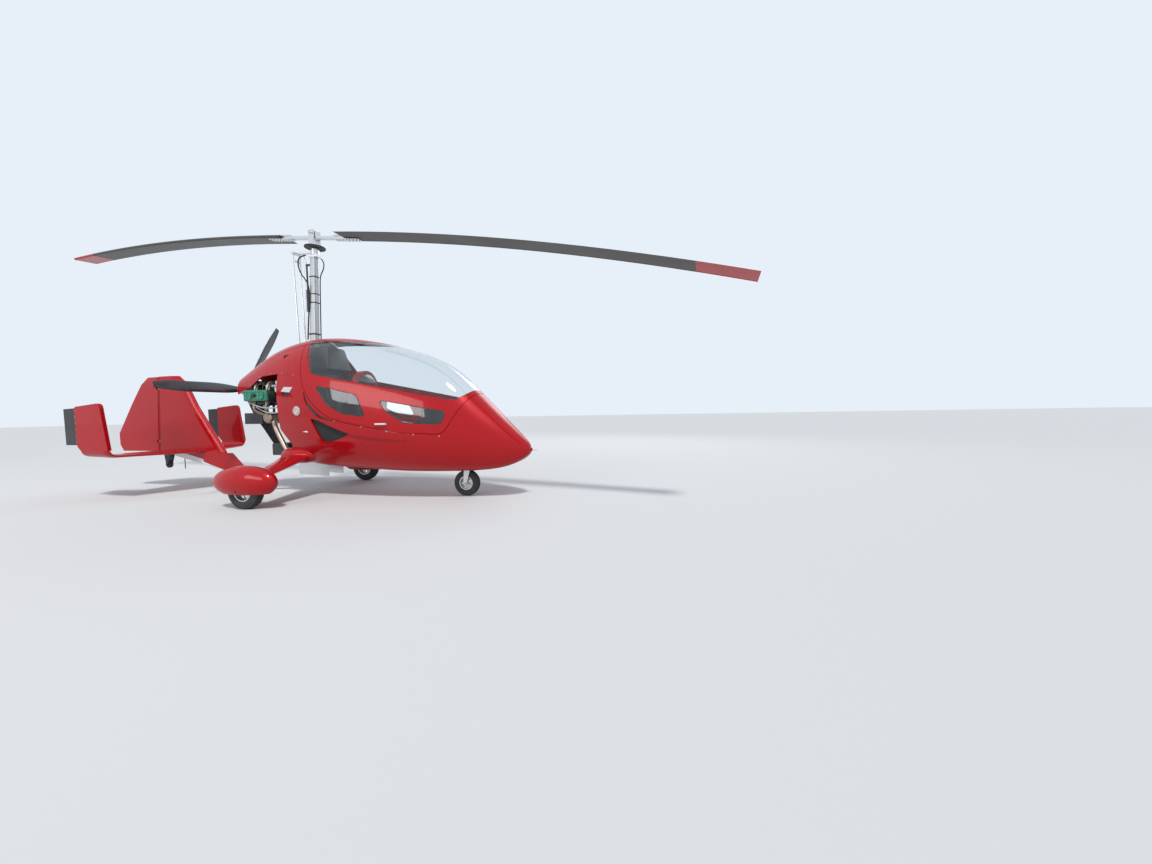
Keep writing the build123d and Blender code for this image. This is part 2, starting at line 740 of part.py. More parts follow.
# Engine: a flat four with its reduction gearbox behind, on four mount tubes from the firewall.
with BuildPart() as engine_block:
    with BuildSketch(Plane.YZ.offset(engine_rear_x)):
        with Locations((0, crank_z)):
            RectangleRounded(2 * engine_half_width, 190, 34)
    extrude(amount=engine_front_x - engine_rear_x)
    for x in cylinder_xs:
        with Locations(Location((x, 0, crank_z), (90, 0, 0))):
            Cylinder(cylinder_radius, 2 * head_y)
    with BuildSketch(Plane.YZ.offset(engine_rear_x)):
        with Locations((0, prop_z - 30)):
            Ellipse(86, 118)
    extrude(amount=gearbox_rear_x - engine_rear_x)
    with Locations(Location((gearbox_rear_x, 0, prop_z), (0, -90, 0))):
        Cylinder(34, gearbox_rear_x - prop_x - prop_hub_length / 2 - turn_gap / 2,
                 align=(Align.CENTER, Align.CENTER, Align.MIN))
        Cylinder(prop_shaft_radius, gearbox_rear_x - prop_x, align=(Align.CENTER, Align.CENTER, Align.MIN))
save(engine_block.part, "engine_block")

# Valve covers: one over each of the four cylinder heads.
with BuildPart() as valve_covers:
    for x in cylinder_xs:
        for side in (-1, 1):
            with BuildSketch(Plane(origin=(x, side * head_y, crank_z), x_dir=(1, 0, 0), z_dir=(0, side, 0))):
                RectangleRounded(124, 112, 26)
            extrude(amount=cover_y - head_y)
save(valve_covers.part, "valve_covers")

# Intake: a plenum on the crankcase with a curved runner to each cylinder.
with BuildPart() as intake:
    with Locations((-520, 0, 1176)):
        Box(230, 120, 66)
    fillet(intake.edges(), 18)
    for x in cylinder_xs:
        for side in (-1, 1):
            add(bent_tube([(x, side * 40, 1180), (x, side * 196, 1196), (x, side * 204, 1086)], 19, 60))
    add(engine_block.part, mode=Mode.SUBTRACT)
save(intake.part, "intake")

# Exhaust: a pipe from below each head to a silencer across the engine bay.
with BuildPart() as exhaust:
    with Locations(Location((-500, 0, 820), (90, 0, 0))):
        Cylinder(58, 380)
    fillet(exhaust.edges(), 16)
    for x in cylinder_xs:
        for side in (-1, 1):
            add(bent_tube([(x, side * 214, 1010), (x, side * 236, 900), (-500, side * 150, 830)], 17, 50))
    add(engine_block.part, mode=Mode.SUBTRACT)
save(exhaust.part, "exhaust")

# Radiator and oil cooler: finned boxes on brackets below the engine.
with BuildPart() as radiator:
    with Locations((-700, 0, 812)):
        Box(230, 330, 118)
    add(rod((-700, 0, 860), (-700, 0, 980), 14))
    add(engine_block.part, mode=Mode.SUBTRACT)
    add(exhaust.part, mode=Mode.SUBTRACT)
save(radiator.part, "radiator")
with BuildPart() as oil_cooler:
    with Locations((-436, 0, 476)):
        Box(190, 240, 124)
    with Locations((-470, 0, 380)):
        Box(60, 40, 120)
    add(keel_beam.part, mode=Mode.SUBTRACT)
save(oil_cooler.part, "oil_cooler")

# Engine mount: four tubes from the firewall to the crankcase.
with BuildPart() as engine_mount:
    for side in (-1, 1):
        add(rod((firewall_x, side * 150, 1150), (engine_front_x - 30, side * 96, 1100), 13))
        add(rod((firewall_x, side * 160, 640), (engine_front_x - 110, side * 92, 980), 13))
    add(engine_block.part, mode=Mode.SUBTRACT)
    add(exhaust.part, mode=Mode.SUBTRACT)
    add(firewall.part, mode=Mode.SUBTRACT)
save(engine_mount.part, "engine_mount")

# Propeller: a hub on the gearbox shaft and three twisted blades.
with BuildPart() as prop_hub:
    with Locations(Location((prop_x, 0, prop_z), (0, 90, 0))):
        Cylinder(prop_hub_radius, prop_hub_length)
    fillet(prop_hub.edges().filter_by(GeomType.CIRCLE).sort_by(Axis.X)[:1], 14)
    with Locations(Location((prop_x, 0, prop_z), (0, 90, 0))):
        Cylinder(prop_shaft_radius + shaft_gap, prop_hub_length, mode=Mode.SUBTRACT)
save(prop_hub.part, "prop_hub")

blade_stations = [
    # radius, chord, thickness, pitch
    (40.0, 44.0, 34.0, 40.0),
    (230.0, 118.0, 22.0, 33.0),
    (540.0, 112.0, 14.0, 20.0),
    (prop_radius, 58.0, 7.0, 12.0),
]
with BuildPart() as prop_blades:
    for turn in prop_turns:
        out = Vector(0, cos(radians(turn)), sin(radians(turn)))
        across = Vector(0, -sin(radians(turn)), cos(radians(turn)))
        sections = []
        for radius, chord, thickness, pitch in blade_stations:
            chord_dir = across * cos(radians(pitch)) + Vector(1, 0, 0) * sin(radians(pitch))
            centre = Vector(prop_x, 0, prop_z) + out * radius
            with BuildSketch(Plane(origin=centre, x_dir=chord_dir, z_dir=out)) as cut:
                Ellipse(chord / 2, thickness / 2)
            sections.append(cut.sketch)
        loft(sections=sections)
    add(prop_hub.part, mode=Mode.SUBTRACT)
save(prop_blades.part, "prop_blades")

# Rotor head: a gimbal block on the mast, with the torque bar back to the control rods.
gimbal_top = ring_gear_z - ring_gear_thickness - 8
with BuildPart() as rotor_gimbal:
    with Locations((mast_top_x / 2 + head_x / 2, 0, mast_top_z)):
        Box(96, 66, 26, align=(Align.CENTER, Align.CENTER, Align.MIN))
    with Locations((head_x, 0, mast_top_z + 26)):
        Cylinder(40, gimbal_top - mast_top_z - 26, align=(Align.CENTER, Align.CENTER, Align.MIN))
    with Locations(((head_x + rod_top[0]) / 2 - 14, 0, mast_top_z + 58)):
        Box(abs(rod_top[0]) + head_x + 28, 34, 20)
    with Locations((rod_top[0], 0, mast_top_z + 58)):
        Box(30, 2 * rod_y + 30, 20)
    with Locations((head_x, 0, mast_top_z + 20)):
        Cylinder(spindle_radius + shaft_gap, 200, align=(Align.CENTER, Align.CENTER, Align.MIN), mode=Mode.SUBTRACT)
save(rotor_gimbal.part, "rotor_gimbal")

# Control rods: two push-pull tubes behind the mast, up to the torque bar's ends.
with BuildPart() as control_rods:
    for side in (-1, 1):
        add(rod((rod_bottom[0], side * rod_y, rod_bottom[1]), (rod_top[0], side * rod_y, rod_top[1] + 10), rod_radius))
    add(rotor_gimbal.part, mode=Mode.SUBTRACT)
save(control_rods.part, "control_rods")

turned = Location((head_x, 0, 0), (0, 0, rotor_turn))
cheek_y = hub_bar_width / 2 + turn_gap + cheek_thickness / 2
with BuildPart() as rotor_tower:
    with Locations(turned):
        with Locations((0, 0, mast_top_z + 24)):
            Cylinder(spindle_radius, ring_gear_z + 10 - mast_top_z - 24, align=(Align.CENTER, Align.CENTER, Align.MIN))
        with Locations((0, 0, ring_gear_z)):
            Box(78, 2 * cheek_y + cheek_thickness, 22, align=(Align.CENTER, Align.CENTER, Align.MIN))
        for side in (-1, 1):
            with Locations((0, side * cheek_y, ring_gear_z)):
                Box(70, cheek_thickness, teeter_z + 26 - ring_gear_z, align=(Align.CENTER, Align.CENTER, Align.MIN))
        with Locations(Location((0, 0, teeter_z), (90, 0, 0))):
            Cylinder(teeter_bolt_radius, 2 * cheek_y + cheek_thickness + 24)
save(rotor_tower.part, "rotor_tower")

with BuildPart() as ring_gear:
    with Locations((head_x, 0, ring_gear_z - ring_gear_thickness)):
        Cylinder(ring_gear_radius, ring_gear_thickness, align=(Align.CENTER, Align.CENTER, Align.MIN))
        with PolarLocations(ring_gear_radius * 0.66, 8):
            Cylinder(13, 60, mode=Mode.SUBTRACT)
    add(rotor_tower.part, mode=Mode.SUBTRACT)
save(ring_gear.part, "ring_gear")

tilt = radians(rotor_tilt)
turn = radians(rotor_turn)
ahead = Vector(cos(tilt) * cos(turn), cos(tilt) * sin(turn), -sin(tilt))
up = Vector(sin(tilt) * cos(turn), sin(tilt) * sin(turn), cos(tilt))
rotor_plane = Plane(origin=(head_x, 0, teeter_z), x_dir=ahead, z_dir=up)
droop_length = rotor_radius - blade_root_radius
droop_radius = (droop_length**2 + blade_droop**2) / (2 * blade_droop)


def blade_point(radius):
    """A point on a blade's droop line, as its radius and its height from the teeter bolt."""
    sunk = droop_radius - sqrt(droop_radius**2 - (radius - blade_root_radius) ** 2)
    return (radius, -hub_bar_drop - sunk)


def blade_span(half_turn, inner, outer):
    """A stretch of blade between two radii, swept along the arc that it droops in."""
    along = ahead if half_turn == 0 else ahead * -1
    beside = up.cross(along)
    upright = Plane(origin=rotor_plane.origin, x_dir=along, z_dir=beside * -1)
    with BuildPart() as span:
        with BuildLine(upright) as path:
            ThreePointArc(blade_point(inner), blade_point((inner + outer) / 2), blade_point(outer))
        with BuildSketch(Plane(origin=path.line @ 0, x_dir=beside, z_dir=path.line % 0)):
            with BuildLine():
                trail = (-0.74 * blade_chord, 0)
                top = (0.15 * blade_chord, 0.52 * blade_thickness)
                base = (0.15 * blade_chord, -0.48 * blade_thickness)
                ThreePointArc(trail, (-0.25 * blade_chord, 0.44 * blade_thickness), top)
                ThreePointArc(top, (0.26 * blade_chord, 0.0), base)
                Line(base, trail)
            make_face()
        sweep()
    return span.part


tip_start = rotor_radius - blade_tip_length
with BuildPart() as rotor_blades:
    for half_turn in (0, 1):
        add(blade_span(half_turn, blade_root_radius, tip_start))
save(rotor_blades.part, "rotor_blades")
with BuildPart() as blade_tips:
    for half_turn in (0, 1):
        add(blade_span(half_turn, tip_start, rotor_radius))
save(blade_tips.part, "blade_tips")

with BuildPart() as hub_bar:
    with Locations(rotor_plane.location):
        with Locations((0, 0, -hub_bar_drop)):
            Box(2 * hub_bar_half_length, hub_bar_width, hub_bar_thickness)
        with Locations((0, 0, -12)):
            Box(84, hub_bar_width, 60)
        for side in (-1, 1):
            for level in (-1, 1):
                with Locations((side * 470, 0, -hub_bar_drop + level * (hub_bar_thickness / 2 + 4))):
                    Box(330, 70, 8)
        with Locations(Location((0, 0, 0), (90, 0, 0))):
            Cylinder(teeter_bolt_radius + shaft_gap, 200, mode=Mode.SUBTRACT)
    add(rotor_blades.part, mode=Mode.SUBTRACT)
save(hub_bar.part, "hub_bar")

# Canopy hinges: two lugs on the hull and an ear on the canopy at each, round one pin.
hinge_xs = (760.0, 1100.0)
hinge_head_radius = 10.0
lug_width = 10.0
ear_width = 16.0
lug_gap = 0.4
hull_stem = 46.0
ear_stem = 80.0
moving_room = body_envelope(-turn_gap)


def hinge_leaf(x, width, stem_height, stem_y):
    """A hinge leaf: a round head on the pin's line and a stem to a foot on the body."""
    with BuildPart() as leaf:
        with BuildSketch(Plane.YZ.offset(x - width / 2)):
            with Locations((hinge_y, hinge_z)):
                Circle(hinge_head_radius)
            Polygon(
                (hinge_y + hinge_head_radius, hinge_z),
                (hinge_y - hinge_head_radius, hinge_z),
                (stem_y - 30, hinge_z + stem_height),
                (stem_y, hinge_z + stem_height),
                align=None,
            )
        extrude(amount=width)
    return leaf.part


with BuildPart() as canopy_hinge:
    for x in hinge_xs:
        for side in (-1, 1):
            add(hinge_leaf(x + side * (ear_width / 2 + lug_gap + lug_width / 2), lug_width, -hull_stem - 40, 404))
    add(moving_room & canopy_hole, mode=Mode.SUBTRACT)
    for x in hinge_xs:
        with Locations(Location((x, hinge_y, hinge_z), (0, 90, 0))):
            Cylinder(hinge_pin_radius, ear_width + 2 * lug_gap + 2 * lug_width + 6)
    add(skin_body, mode=Mode.SUBTRACT)
save(canopy_hinge.part, "canopy_hinge")

with BuildPart() as canopy_ears:
    for x in hinge_xs:
        add(hinge_leaf(x, ear_width, ear_stem, 412))
    add(moving_room - canopy_block, mode=Mode.SUBTRACT)
    add(skin_body, mode=Mode.SUBTRACT)
    for x in hinge_xs:
        with Locations(Location((x, hinge_y, hinge_z), (0, 90, 0))):
            Cylinder(hinge_pin_radius + shaft_gap, 2 * ear_width, mode=Mode.SUBTRACT)
save(canopy_ears.part, "canopy_ears")

# Latch: the handle on the canopy's starboard sill.
with BuildPart() as canopy_latch:
    with Locations((1010, -410, 742)):
        Box(110, 34, 16)
    fillet(canopy_latch.edges().filter_by(Axis.X), 5)
    add(skin_body, mode=Mode.SUBTRACT)
save(canopy_latch.part, "canopy_latch")

# Pitot tube: a thin probe out of the nose tip.
with BuildPart() as pitot_tube:
    add(rod((nose_x - 10, 0, 462), (nose_x + 62, 0, 462), 5))
    add(skin_body, mode=Mode.SUBTRACT)
save(pitot_tube.part, "pitot_tube")

# Side lamps: a teardrop position lamp on each flank, pointed to the rear.
lamp_nose = (176.0, 367.0, 674.0)
lamp_radius = 11.0
lamp_length = 72.0
with BuildPart() as side_lamps:
    for side in (-1, 1):
        with BuildSketch(Plane(origin=(lamp_nose[0], side * lamp_nose[1], lamp_nose[2]))):
            with BuildLine():
                ThreePointArc((0, 0), (-0.3 * lamp_radius, 0.7 * lamp_radius), (-lamp_radius, lamp_radius))
                Line((-lamp_radius, lamp_radius), (-lamp_length, 0))
                Line((-lamp_length, 0), (0, 0))
            make_face()
        revolve(axis=Axis((0, side * lamp_nose[1], lamp_nose[2]), (1, 0, 0)))
    add(skin_body, mode=Mode.SUBTRACT)
save(side_lamps.part, "side_lamps")
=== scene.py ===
import math

import bpy
import numpy as np
from mathutils import Matrix, Vector


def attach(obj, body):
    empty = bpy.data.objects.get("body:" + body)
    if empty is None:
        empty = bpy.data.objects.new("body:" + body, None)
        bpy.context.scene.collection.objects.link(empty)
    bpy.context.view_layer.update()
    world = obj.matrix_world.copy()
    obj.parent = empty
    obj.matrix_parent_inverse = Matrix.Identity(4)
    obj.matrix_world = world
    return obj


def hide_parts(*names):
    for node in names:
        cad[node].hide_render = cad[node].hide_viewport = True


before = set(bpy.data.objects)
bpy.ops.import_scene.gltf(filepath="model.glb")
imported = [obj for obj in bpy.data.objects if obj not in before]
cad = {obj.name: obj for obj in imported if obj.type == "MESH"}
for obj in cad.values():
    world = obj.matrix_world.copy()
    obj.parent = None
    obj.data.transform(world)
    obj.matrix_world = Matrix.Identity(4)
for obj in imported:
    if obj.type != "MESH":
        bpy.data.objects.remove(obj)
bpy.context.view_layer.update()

# Camera: low over the grass, ahead of the starboard side, through a wide lens held a little
# off level. Its place was solved from the photograph's horizon and the uprights in it.
camera_place = Vector((3.506, -3.773, 0.828))
look_level = Vector((-0.1875, 0.9823, 0.0)).normalized()
pitch_down = 0.0506
roll = 0.0170
bpy.ops.object.select_all(action="DESELECT")
bpy.ops.object.camera_add(location=camera_place)
camera = bpy.context.object
look = (look_level * math.cos(pitch_down) + Vector((0, 0, -math.sin(pitch_down)))).normalized()
across = look_level.cross(Vector((0, 0, 1))).normalized()
upward = across.cross(look).normalized()
right = across * math.cos(roll) - upward * math.sin(roll)
above = across * math.sin(roll) + upward * math.cos(roll)
camera.matrix_world = Matrix(
    (
        (right.x, above.x, -look.x, camera_place.x),
        (right.y, above.y, -look.y, camera_place.y),
        (right.z, above.z, -look.z, camera_place.z),
        (0, 0, 0, 1),
    )
)
camera.data.lens = 12.616
camera.data.sensor_width = 36.0
camera.data.clip_end = 300.0
bpy.context.scene.camera = camera

# Floor and light: a plain pale ground under an even white sky, with three large soft lamps whose
# reflections draw the paint's curves.
bpy.ops.mesh.primitive_plane_add(size=160.0, location=(0, 0, 0))
ground = bpy.context.object
ground.name = "ground"
ground_finish = bpy.data.materials.new("pale_ground")
ground_finish.use_nodes = True
tree = ground_finish.node_tree
principled = tree.nodes["Principled BSDF"]
principled.inputs["Roughness"].default_value = 0.9
principled.inputs["Base Color"].default_value = (0.62, 0.62, 0.61, 1)
ground.data.materials.append(ground_finish)

world = bpy.data.worlds.new("white_sky")
bpy.context.scene.world = world
world.use_nodes = True
sky = world.node_tree
sky_light = sky.nodes["Background"]
sky_light.inputs["Color"].default_value = (0.78, 0.86, 1.0, 1)
sky_light.inputs["Strength"].default_value = 0.55
sky_seen = sky.nodes.new("ShaderNodeBackground")
sky_seen.inputs["Color"].default_value = (0.80, 0.87, 0.95, 1)
sky_seen.inputs["Strength"].default_value = 1.0
sky_mix = sky.nodes.new("ShaderNodeMixShader")
rays = sky.nodes.new("ShaderNodeLightPath")
direct = sky.nodes.new("ShaderNodeMath")
direct.operation = "MAXIMUM"
either = sky.nodes.new("ShaderNodeMath")
either.operation = "MAXIMUM"
sky.links.new(rays.outputs["Is Camera Ray"], direct.inputs[0])
sky.links.new(rays.outputs["Is Transmission Ray"], direct.inputs[1])
sky.links.new(direct.outputs[0], either.inputs[0])
sky.links.new(rays.outputs["Is Glossy Ray"], either.inputs[1])
sky.links.new(either.outputs[0], sky_mix.inputs[0])
sky.links.new(sky_light.outputs[0], sky_mix.inputs[1])
sky.links.new(sky_seen.outputs[0], sky_mix.inputs[2])
sky.links.new(sky_mix.outputs[0], sky.nodes["World Output"].inputs["Surface"])
bpy.ops.object.light_add(type="SUN", location=(6.0, -6.0, 9.0))
sun = bpy.context.object
sun.name = "sun"
sun.data.energy = 2.3
sun.data.angle = math.radians(7.0)
sun.rotation_euler = (Vector((-0.30, 0.55, -1.0))).to_track_quat("-Z", "Y").to_euler()
lamps = [
    # name, place, aim, size, size across, watts
    ("side", (-3.5, -9.0, 4.0), (0.2, 0.0, 0.9), 6.0, 2.5, 200.0),
    ("far", (3.0, 8.0, 6.0), (0.0, 0.0, 0.9), 5.0, 4.0, 120.0),
]
for name, place, aim, size, size_across, watts in lamps:
    bpy.ops.object.light_add(type="AREA", location=place)
    lamp = bpy.context.object
    lamp.name = name
    lamp.data.shape = "RECTANGLE"
    lamp.data.size = size
    lamp.data.size_y = size_across
    lamp.data.energy = watts
    lamp.rotation_euler = (Vector(aim) - Vector(place)).to_track_quat("-Z", "Y").to_euler()
bpy.context.scene.view_settings.view_transform = "Standard"


# Red paint: a candy coat over fine metal flake on moulded composite, deep and wet where the lamps catch it,
# with a faint darker dust in soft patches.
def dust_effect():
    """A group that settles faint dust in soft patches."""
    group = bpy.data.node_groups.new("settled_dust", "ShaderNodeTree")
    group.interface.new_socket("Colour", in_out="INPUT", socket_type="NodeSocketColor")
    group.interface.new_socket("Dust", in_out="INPUT", socket_type="NodeSocketColor")
    group.interface.new_socket("Amount", in_out="INPUT", socket_type="NodeSocketFloat")
    group.interface.new_socket("Scale", in_out="INPUT", socket_type="NodeSocketFloat")
    group.interface.new_socket("Colour", in_out="OUTPUT", socket_type="NodeSocketColor")
    group.interface.new_socket("Mask", in_out="OUTPUT", socket_type="NodeSocketFloat")
    inputs = group.nodes.new("NodeGroupInput")
    outputs = group.nodes.new("NodeGroupOutput")
    place = group.nodes.new("ShaderNodeTexCoord")
    cloud = group.nodes.new("ShaderNodeTexNoise")
    cloud.inputs["Detail"].default_value = 6.0
    cloud.inputs["Roughness"].default_value = 0.62
    spread = group.nodes.new("ShaderNodeMapRange")
    spread.inputs["From Min"].default_value = 0.38
    spread.inputs["From Max"].default_value = 0.78
    amount = group.nodes.new("ShaderNodeMath")
    amount.operation = "MULTIPLY"
    mix = group.nodes.new("ShaderNodeMix")
    mix.data_type = "RGBA"
    group.links.new(place.outputs["Object"], cloud.inputs["Vector"])
    group.links.new(inputs.outputs["Scale"], cloud.inputs["Scale"])
    group.links.new(cloud.outputs["Fac"], spread.inputs["Value"])
    group.links.new(spread.outputs["Result"], amount.inputs[0])
    group.links.new(inputs.outputs["Amount"], amount.inputs[1])
    group.links.new(amount.outputs[0], mix.inputs["Factor"])
    group.links.new(inputs.outputs["Colour"], mix.inputs[6])
    group.links.new(inputs.outputs["Dust"], mix.inputs[7])
    group.links.new(mix.outputs[2], outputs.inputs["Colour"])
    group.links.new(amount.outputs[0], outputs.inputs["Mask"])
    return group


settled_dust = dust_effect()


def new_finish(name, colour, roughness, metallic=0.0, coat=0.0, dust=0.10, dust_scale=3.0,
               dust_colour=(0.30, 0.27, 0.22, 1)):
    """A material for one finish: its colour under a little dust, with its own gloss."""
    finish = bpy.data.materials.new(name)
    finish.use_nodes = True
    shader = finish.node_tree.nodes["Principled BSDF"]
    shader.inputs["Roughness"].default_value = roughness
    shader.inputs["Metallic"].default_value = metallic
    shader.inputs["Coat Weight"].default_value = coat
    shader.inputs["Coat Roughness"].default_value = 0.03
    dusty = finish.node_tree.nodes.new("ShaderNodeGroup")
    dusty.name = "dusty"
    dusty.node_tree = settled_dust
    dusty.inputs["Colour"].default_value = colour
    dusty.inputs["Dust"].default_value = dust_colour
    dusty.inputs["Amount"].default_value = dust
    dusty.inputs["Scale"].default_value = dust_scale
    finish.node_tree.links.new(dusty.outputs["Colour"], shader.inputs["Base Color"])
    return finish


def rough_where_dusty(finish, clean, dirty):
    """Roughness that rises from clean to dirty with the finish's dust."""
    tree = finish.node_tree
    spread = tree.nodes.new("ShaderNodeMapRange")
    spread.inputs["From Max"].default_value = max(tree.nodes["dusty"].inputs["Amount"].default_value, 0.01)
    spread.inputs["To Min"].default_value = clean
    spread.inputs["To Max"].default_value = dirty
    tree.links.new(tree.nodes["dusty"].outputs["Mask"], spread.inputs["Value"])
    tree.links.new(spread.outputs["Result"], tree.nodes["Principled BSDF"].inputs["Roughness"])


def grained(finish, scale, depth, stretch=(1.0, 1.0, 1.0), detail=3.0):
    """A fine noise in the surface, stretched along an axis where it is brushed or ground."""
    tree = finish.node_tree
    place = tree.nodes.new("ShaderNodeTexCoord")
    turn = tree.nodes.new("ShaderNodeMapping")
    turn.inputs["Scale"].default_value = stretch
    noise = tree.nodes.new("ShaderNodeTexNoise")
    noise.inputs["Scale"].default_value = scale
    noise.inputs["Detail"].default_value = detail
    bump = tree.nodes.new("ShaderNodeBump")
    bump.inputs["Strength"].default_value = 0.6
    bump.inputs["Distance"].default_value = depth
    tree.links.new(place.outputs["Object"], turn.inputs["Vector"])
    tree.links.new(turn.outputs["Vector"], noise.inputs["Vector"])
    tree.links.new(noise.outputs["Fac"], bump.inputs["Height"])
    tree.links.new(bump.outputs["Normal"], tree.nodes["Principled BSDF"].inputs["Normal"])


red_paint = new_finish("candy_red_paint", (0.40, 0.0016, 0.0050, 1), 0.34, metallic=0.12, coat=0.45, dust=0.03,
                       dust_scale=2.2, dust_colour=(0.24, 0.02, 0.02, 1))
red_paint.node_tree.nodes["Principled BSDF"].inputs["Specular IOR Level"].default_value = 0.12
rough_where_dusty(red_paint, 0.26, 0.40)
grained(red_paint, 900.0, 0.00002)


def painted(piece, finish):
    """Gives a piece one finish all over."""
    piece.data.materials.clear()
    piece.data.materials.append(finish)
    return piece

# Body form: the moulded shell of the whole cabin, drawn as twelve sections from the engine to the
# nose. Hull, canopy frame, bubble, windows and upper cowl are all cut from it, so they lie flush.
body_sections = np.array([
    # x, bottom, widest height, top, half width
    (-0.872, 0.940, 1.120, 1.288, 0.176),
    (-0.560, 0.640, 1.080, 1.470, 0.250),
    (-0.220, 0.410, 1.010, 1.594, 0.326),
    (0.130, 0.330, 0.930, 1.634, 0.388),
    (0.600, 0.296, 0.790, 1.597, 0.412),
    (1.100, 0.270, 0.685, 1.482, 0.400),
    (1.550, 0.268, 0.612, 1.283, 0.346),
    (1.900, 0.280, 0.550, 0.958, 0.264),
    (2.160, 0.326, 0.500, 0.698, 0.176),
    (2.290, 0.392, 0.472, 0.566, 0.092),
    (2.322, 0.420, 0.467, 0.528, 0.058),
    (2.337, 0.446, 0.466, 0.488, 0.024),
])
flat_share = 0.42
crown_share = 0.10
steps_along = 190
corner_steps = (6, 22, 26, 3)


def drawn_through(rows, count):
    """Rows of sizes joined by a natural cubic, measured along the length between them."""
    travel = np.concatenate(([0.0], np.cumsum(np.linalg.norm(np.diff(rows, axis=0), axis=1))))
    gaps = np.diff(travel)
    size = len(rows)
    system = np.zeros((size, size))
    system[0, 0] = system[-1, -1] = 1.0
    want = np.zeros_like(rows)
    for i in range(1, size - 1):
        system[i, i - 1 : i + 2] = (gaps[i - 1], 2 * (gaps[i - 1] + gaps[i]), gaps[i])
        want[i] = 6 * ((rows[i + 1] - rows[i]) / gaps[i] - (rows[i] - rows[i - 1]) / gaps[i - 1])
    bend = np.linalg.solve(system, want)
    places = np.linspace(0.0, travel[-1], count)
    span = np.clip(np.searchsorted(travel, places) - 1, 0, size - 2)
    a = (travel[span + 1] - places)[:, None]
    b = (places - travel[span])[:, None]
    h = gaps[span][:, None]
    low, high = rows[span], rows[span + 1]
    return (
        bend[span] * a**3 / (6 * h)
        + bend[span + 1] * b**3 / (6 * h)
        + (low / h - bend[span] * h / 6) * a
        + (high / h - bend[span + 1] * h / 6) * b
    )


def section_ring(row, inset):
    """Points round one section of the body, starting below at the middle, going up to port."""
    x, bottom, middle, top, half = row
    low, high, side = bottom + inset, top - inset, half - inset
    flat, crown = side * flat_share, side * crown_share
    flat_n, low_n, high_n, top_n = corner_steps
    ring = [(flat * k / flat_n, low) for k in range(flat_n)]
    for k in range(low_n):
        turn = -math.pi / 2 + math.pi / 2 * k / low_n
        ring.append((flat + (side - flat) * math.cos(turn), middle + (middle - low) * math.sin(turn)))
    for k in range(high_n):
        turn = math.pi / 2 * k / high_n
        ring.append((crown + (side - crown) * math.cos(turn), middle + (high - middle) * math.sin(turn)))
    ring += [(crown * (1 - k / top_n), high) for k in range(top_n)]
    half_ring = ring + [(0.0, high)]
    other = [(-y, z) for y, z in reversed(half_ring[1:-1])]
    return [(x, y, z) for y, z in half_ring + other]


def ringed_form(name, rings, closed_ends=True):
    """A closed form from rings of equal count, joined in order, with its ends filled."""
    around = len(rings[0])
    bpy.ops.object.select_all(action="DESELECT")
    bpy.ops.mesh.primitive_grid_add(x_subdivisions=around, y_subdivisions=len(rings) - 1, size=1)
    form = bpy.context.object
    form.name = name
    wrapped = np.array([[tuple(p) for p in ring] + [tuple(ring[0])] for ring in rings]).reshape(-1, 3)
    form.data.vertices.foreach_set("co", wrapped.ravel())
    bpy.ops.object.mode_set(mode="EDIT")
    bpy.ops.mesh.select_all(action="SELECT")
    bpy.ops.mesh.remove_doubles(threshold=0.00002)
    if closed_ends:
        bpy.ops.mesh.select_all(action="DESELECT")
        bpy.ops.mesh.select_non_manifold()
        bpy.ops.mesh.edge_face_add()
    bpy.ops.mesh.select_all(action="SELECT")
    bpy.ops.mesh.normals_make_consistent(inside=False)
    bpy.ops.object.mode_set(mode="OBJECT")
    return form


def body_form(name, inset):
    """The body as one closed form, drawn in by an inset."""
    rows = drawn_through(body_sections, steps_along)
    if inset > 0:
        rows = rows[rows[:, 0] < 2.337 - 1.5 * inset]
    rings = [section_ring(row, inset) for row in rows]
    tip = rows[-1]
    if inset <= 0:
        centre = np.array([0.0, 0.0, tip[2]])
        last = np.array(rings[-1])
        for share, ahead in ((0.93, 0.005), (0.78, 0.010), (0.55, 0.0135), (0.28, 0.0155)):
            shrunk = centre + (last - centre) * share
            shrunk[:, 0] = last[:, 0] + ahead
            rings.append([tuple(p) for p in shrunk])
    return ringed_form(name, rings)


def applied():
    """The active form, with its place, turn and size taken into its mesh."""
    bpy.ops.object.transform_apply(location=True, rotation=True, scale=True)
    return bpy.context.object


def combine(piece, other, operation, keep=False):
    """Cuts, joins or crosses a piece with another form, and drops the other unless it is kept."""
    bpy.ops.object.select_all(action="DESELECT")
    piece.select_set(True)
    bpy.context.view_layer.objects.active = piece
    cut = piece.modifiers.new("cut", "BOOLEAN")
    cut.operation = operation
    cut.solver = "EXACT"
    cut.object = other
    bpy.ops.object.modifier_apply(modifier=cut.name)
    if not keep:
        bpy.data.objects.remove(other)
    return piece


def copy_of(form, name):
    """The same form again, with a mesh of its own."""
    twin = form.copy()
    twin.data = form.data.copy()
    twin.name = name
    bpy.context.scene.collection.objects.link(twin)
    return twin


def soften(piece, angle=32.0, edge=0.0):
    """Smooth shading over the curves, and edges eased by a small bevel."""
    bpy.ops.object.select_all(action="DESELECT")
    piece.select_set(True)
    bpy.context.view_layer.objects.active = piece
    if edge > 0:
        ease = piece.modifiers.new("eased_edges", "BEVEL")
        ease.width = edge
        ease.segments = 2
        ease.limit_method = "ANGLE"
        ease.angle_limit = math.radians(40)
        bpy.ops.object.modifier_apply(modifier=ease.name)
    bpy.ops.object.shade_smooth_by_angle(angle=math.radians(angle))
    level = piece.modifiers.new("level_shading", "WEIGHTED_NORMAL")
    level.keep_sharp = True
    bpy.ops.object.modifier_apply(modifier=level.name)


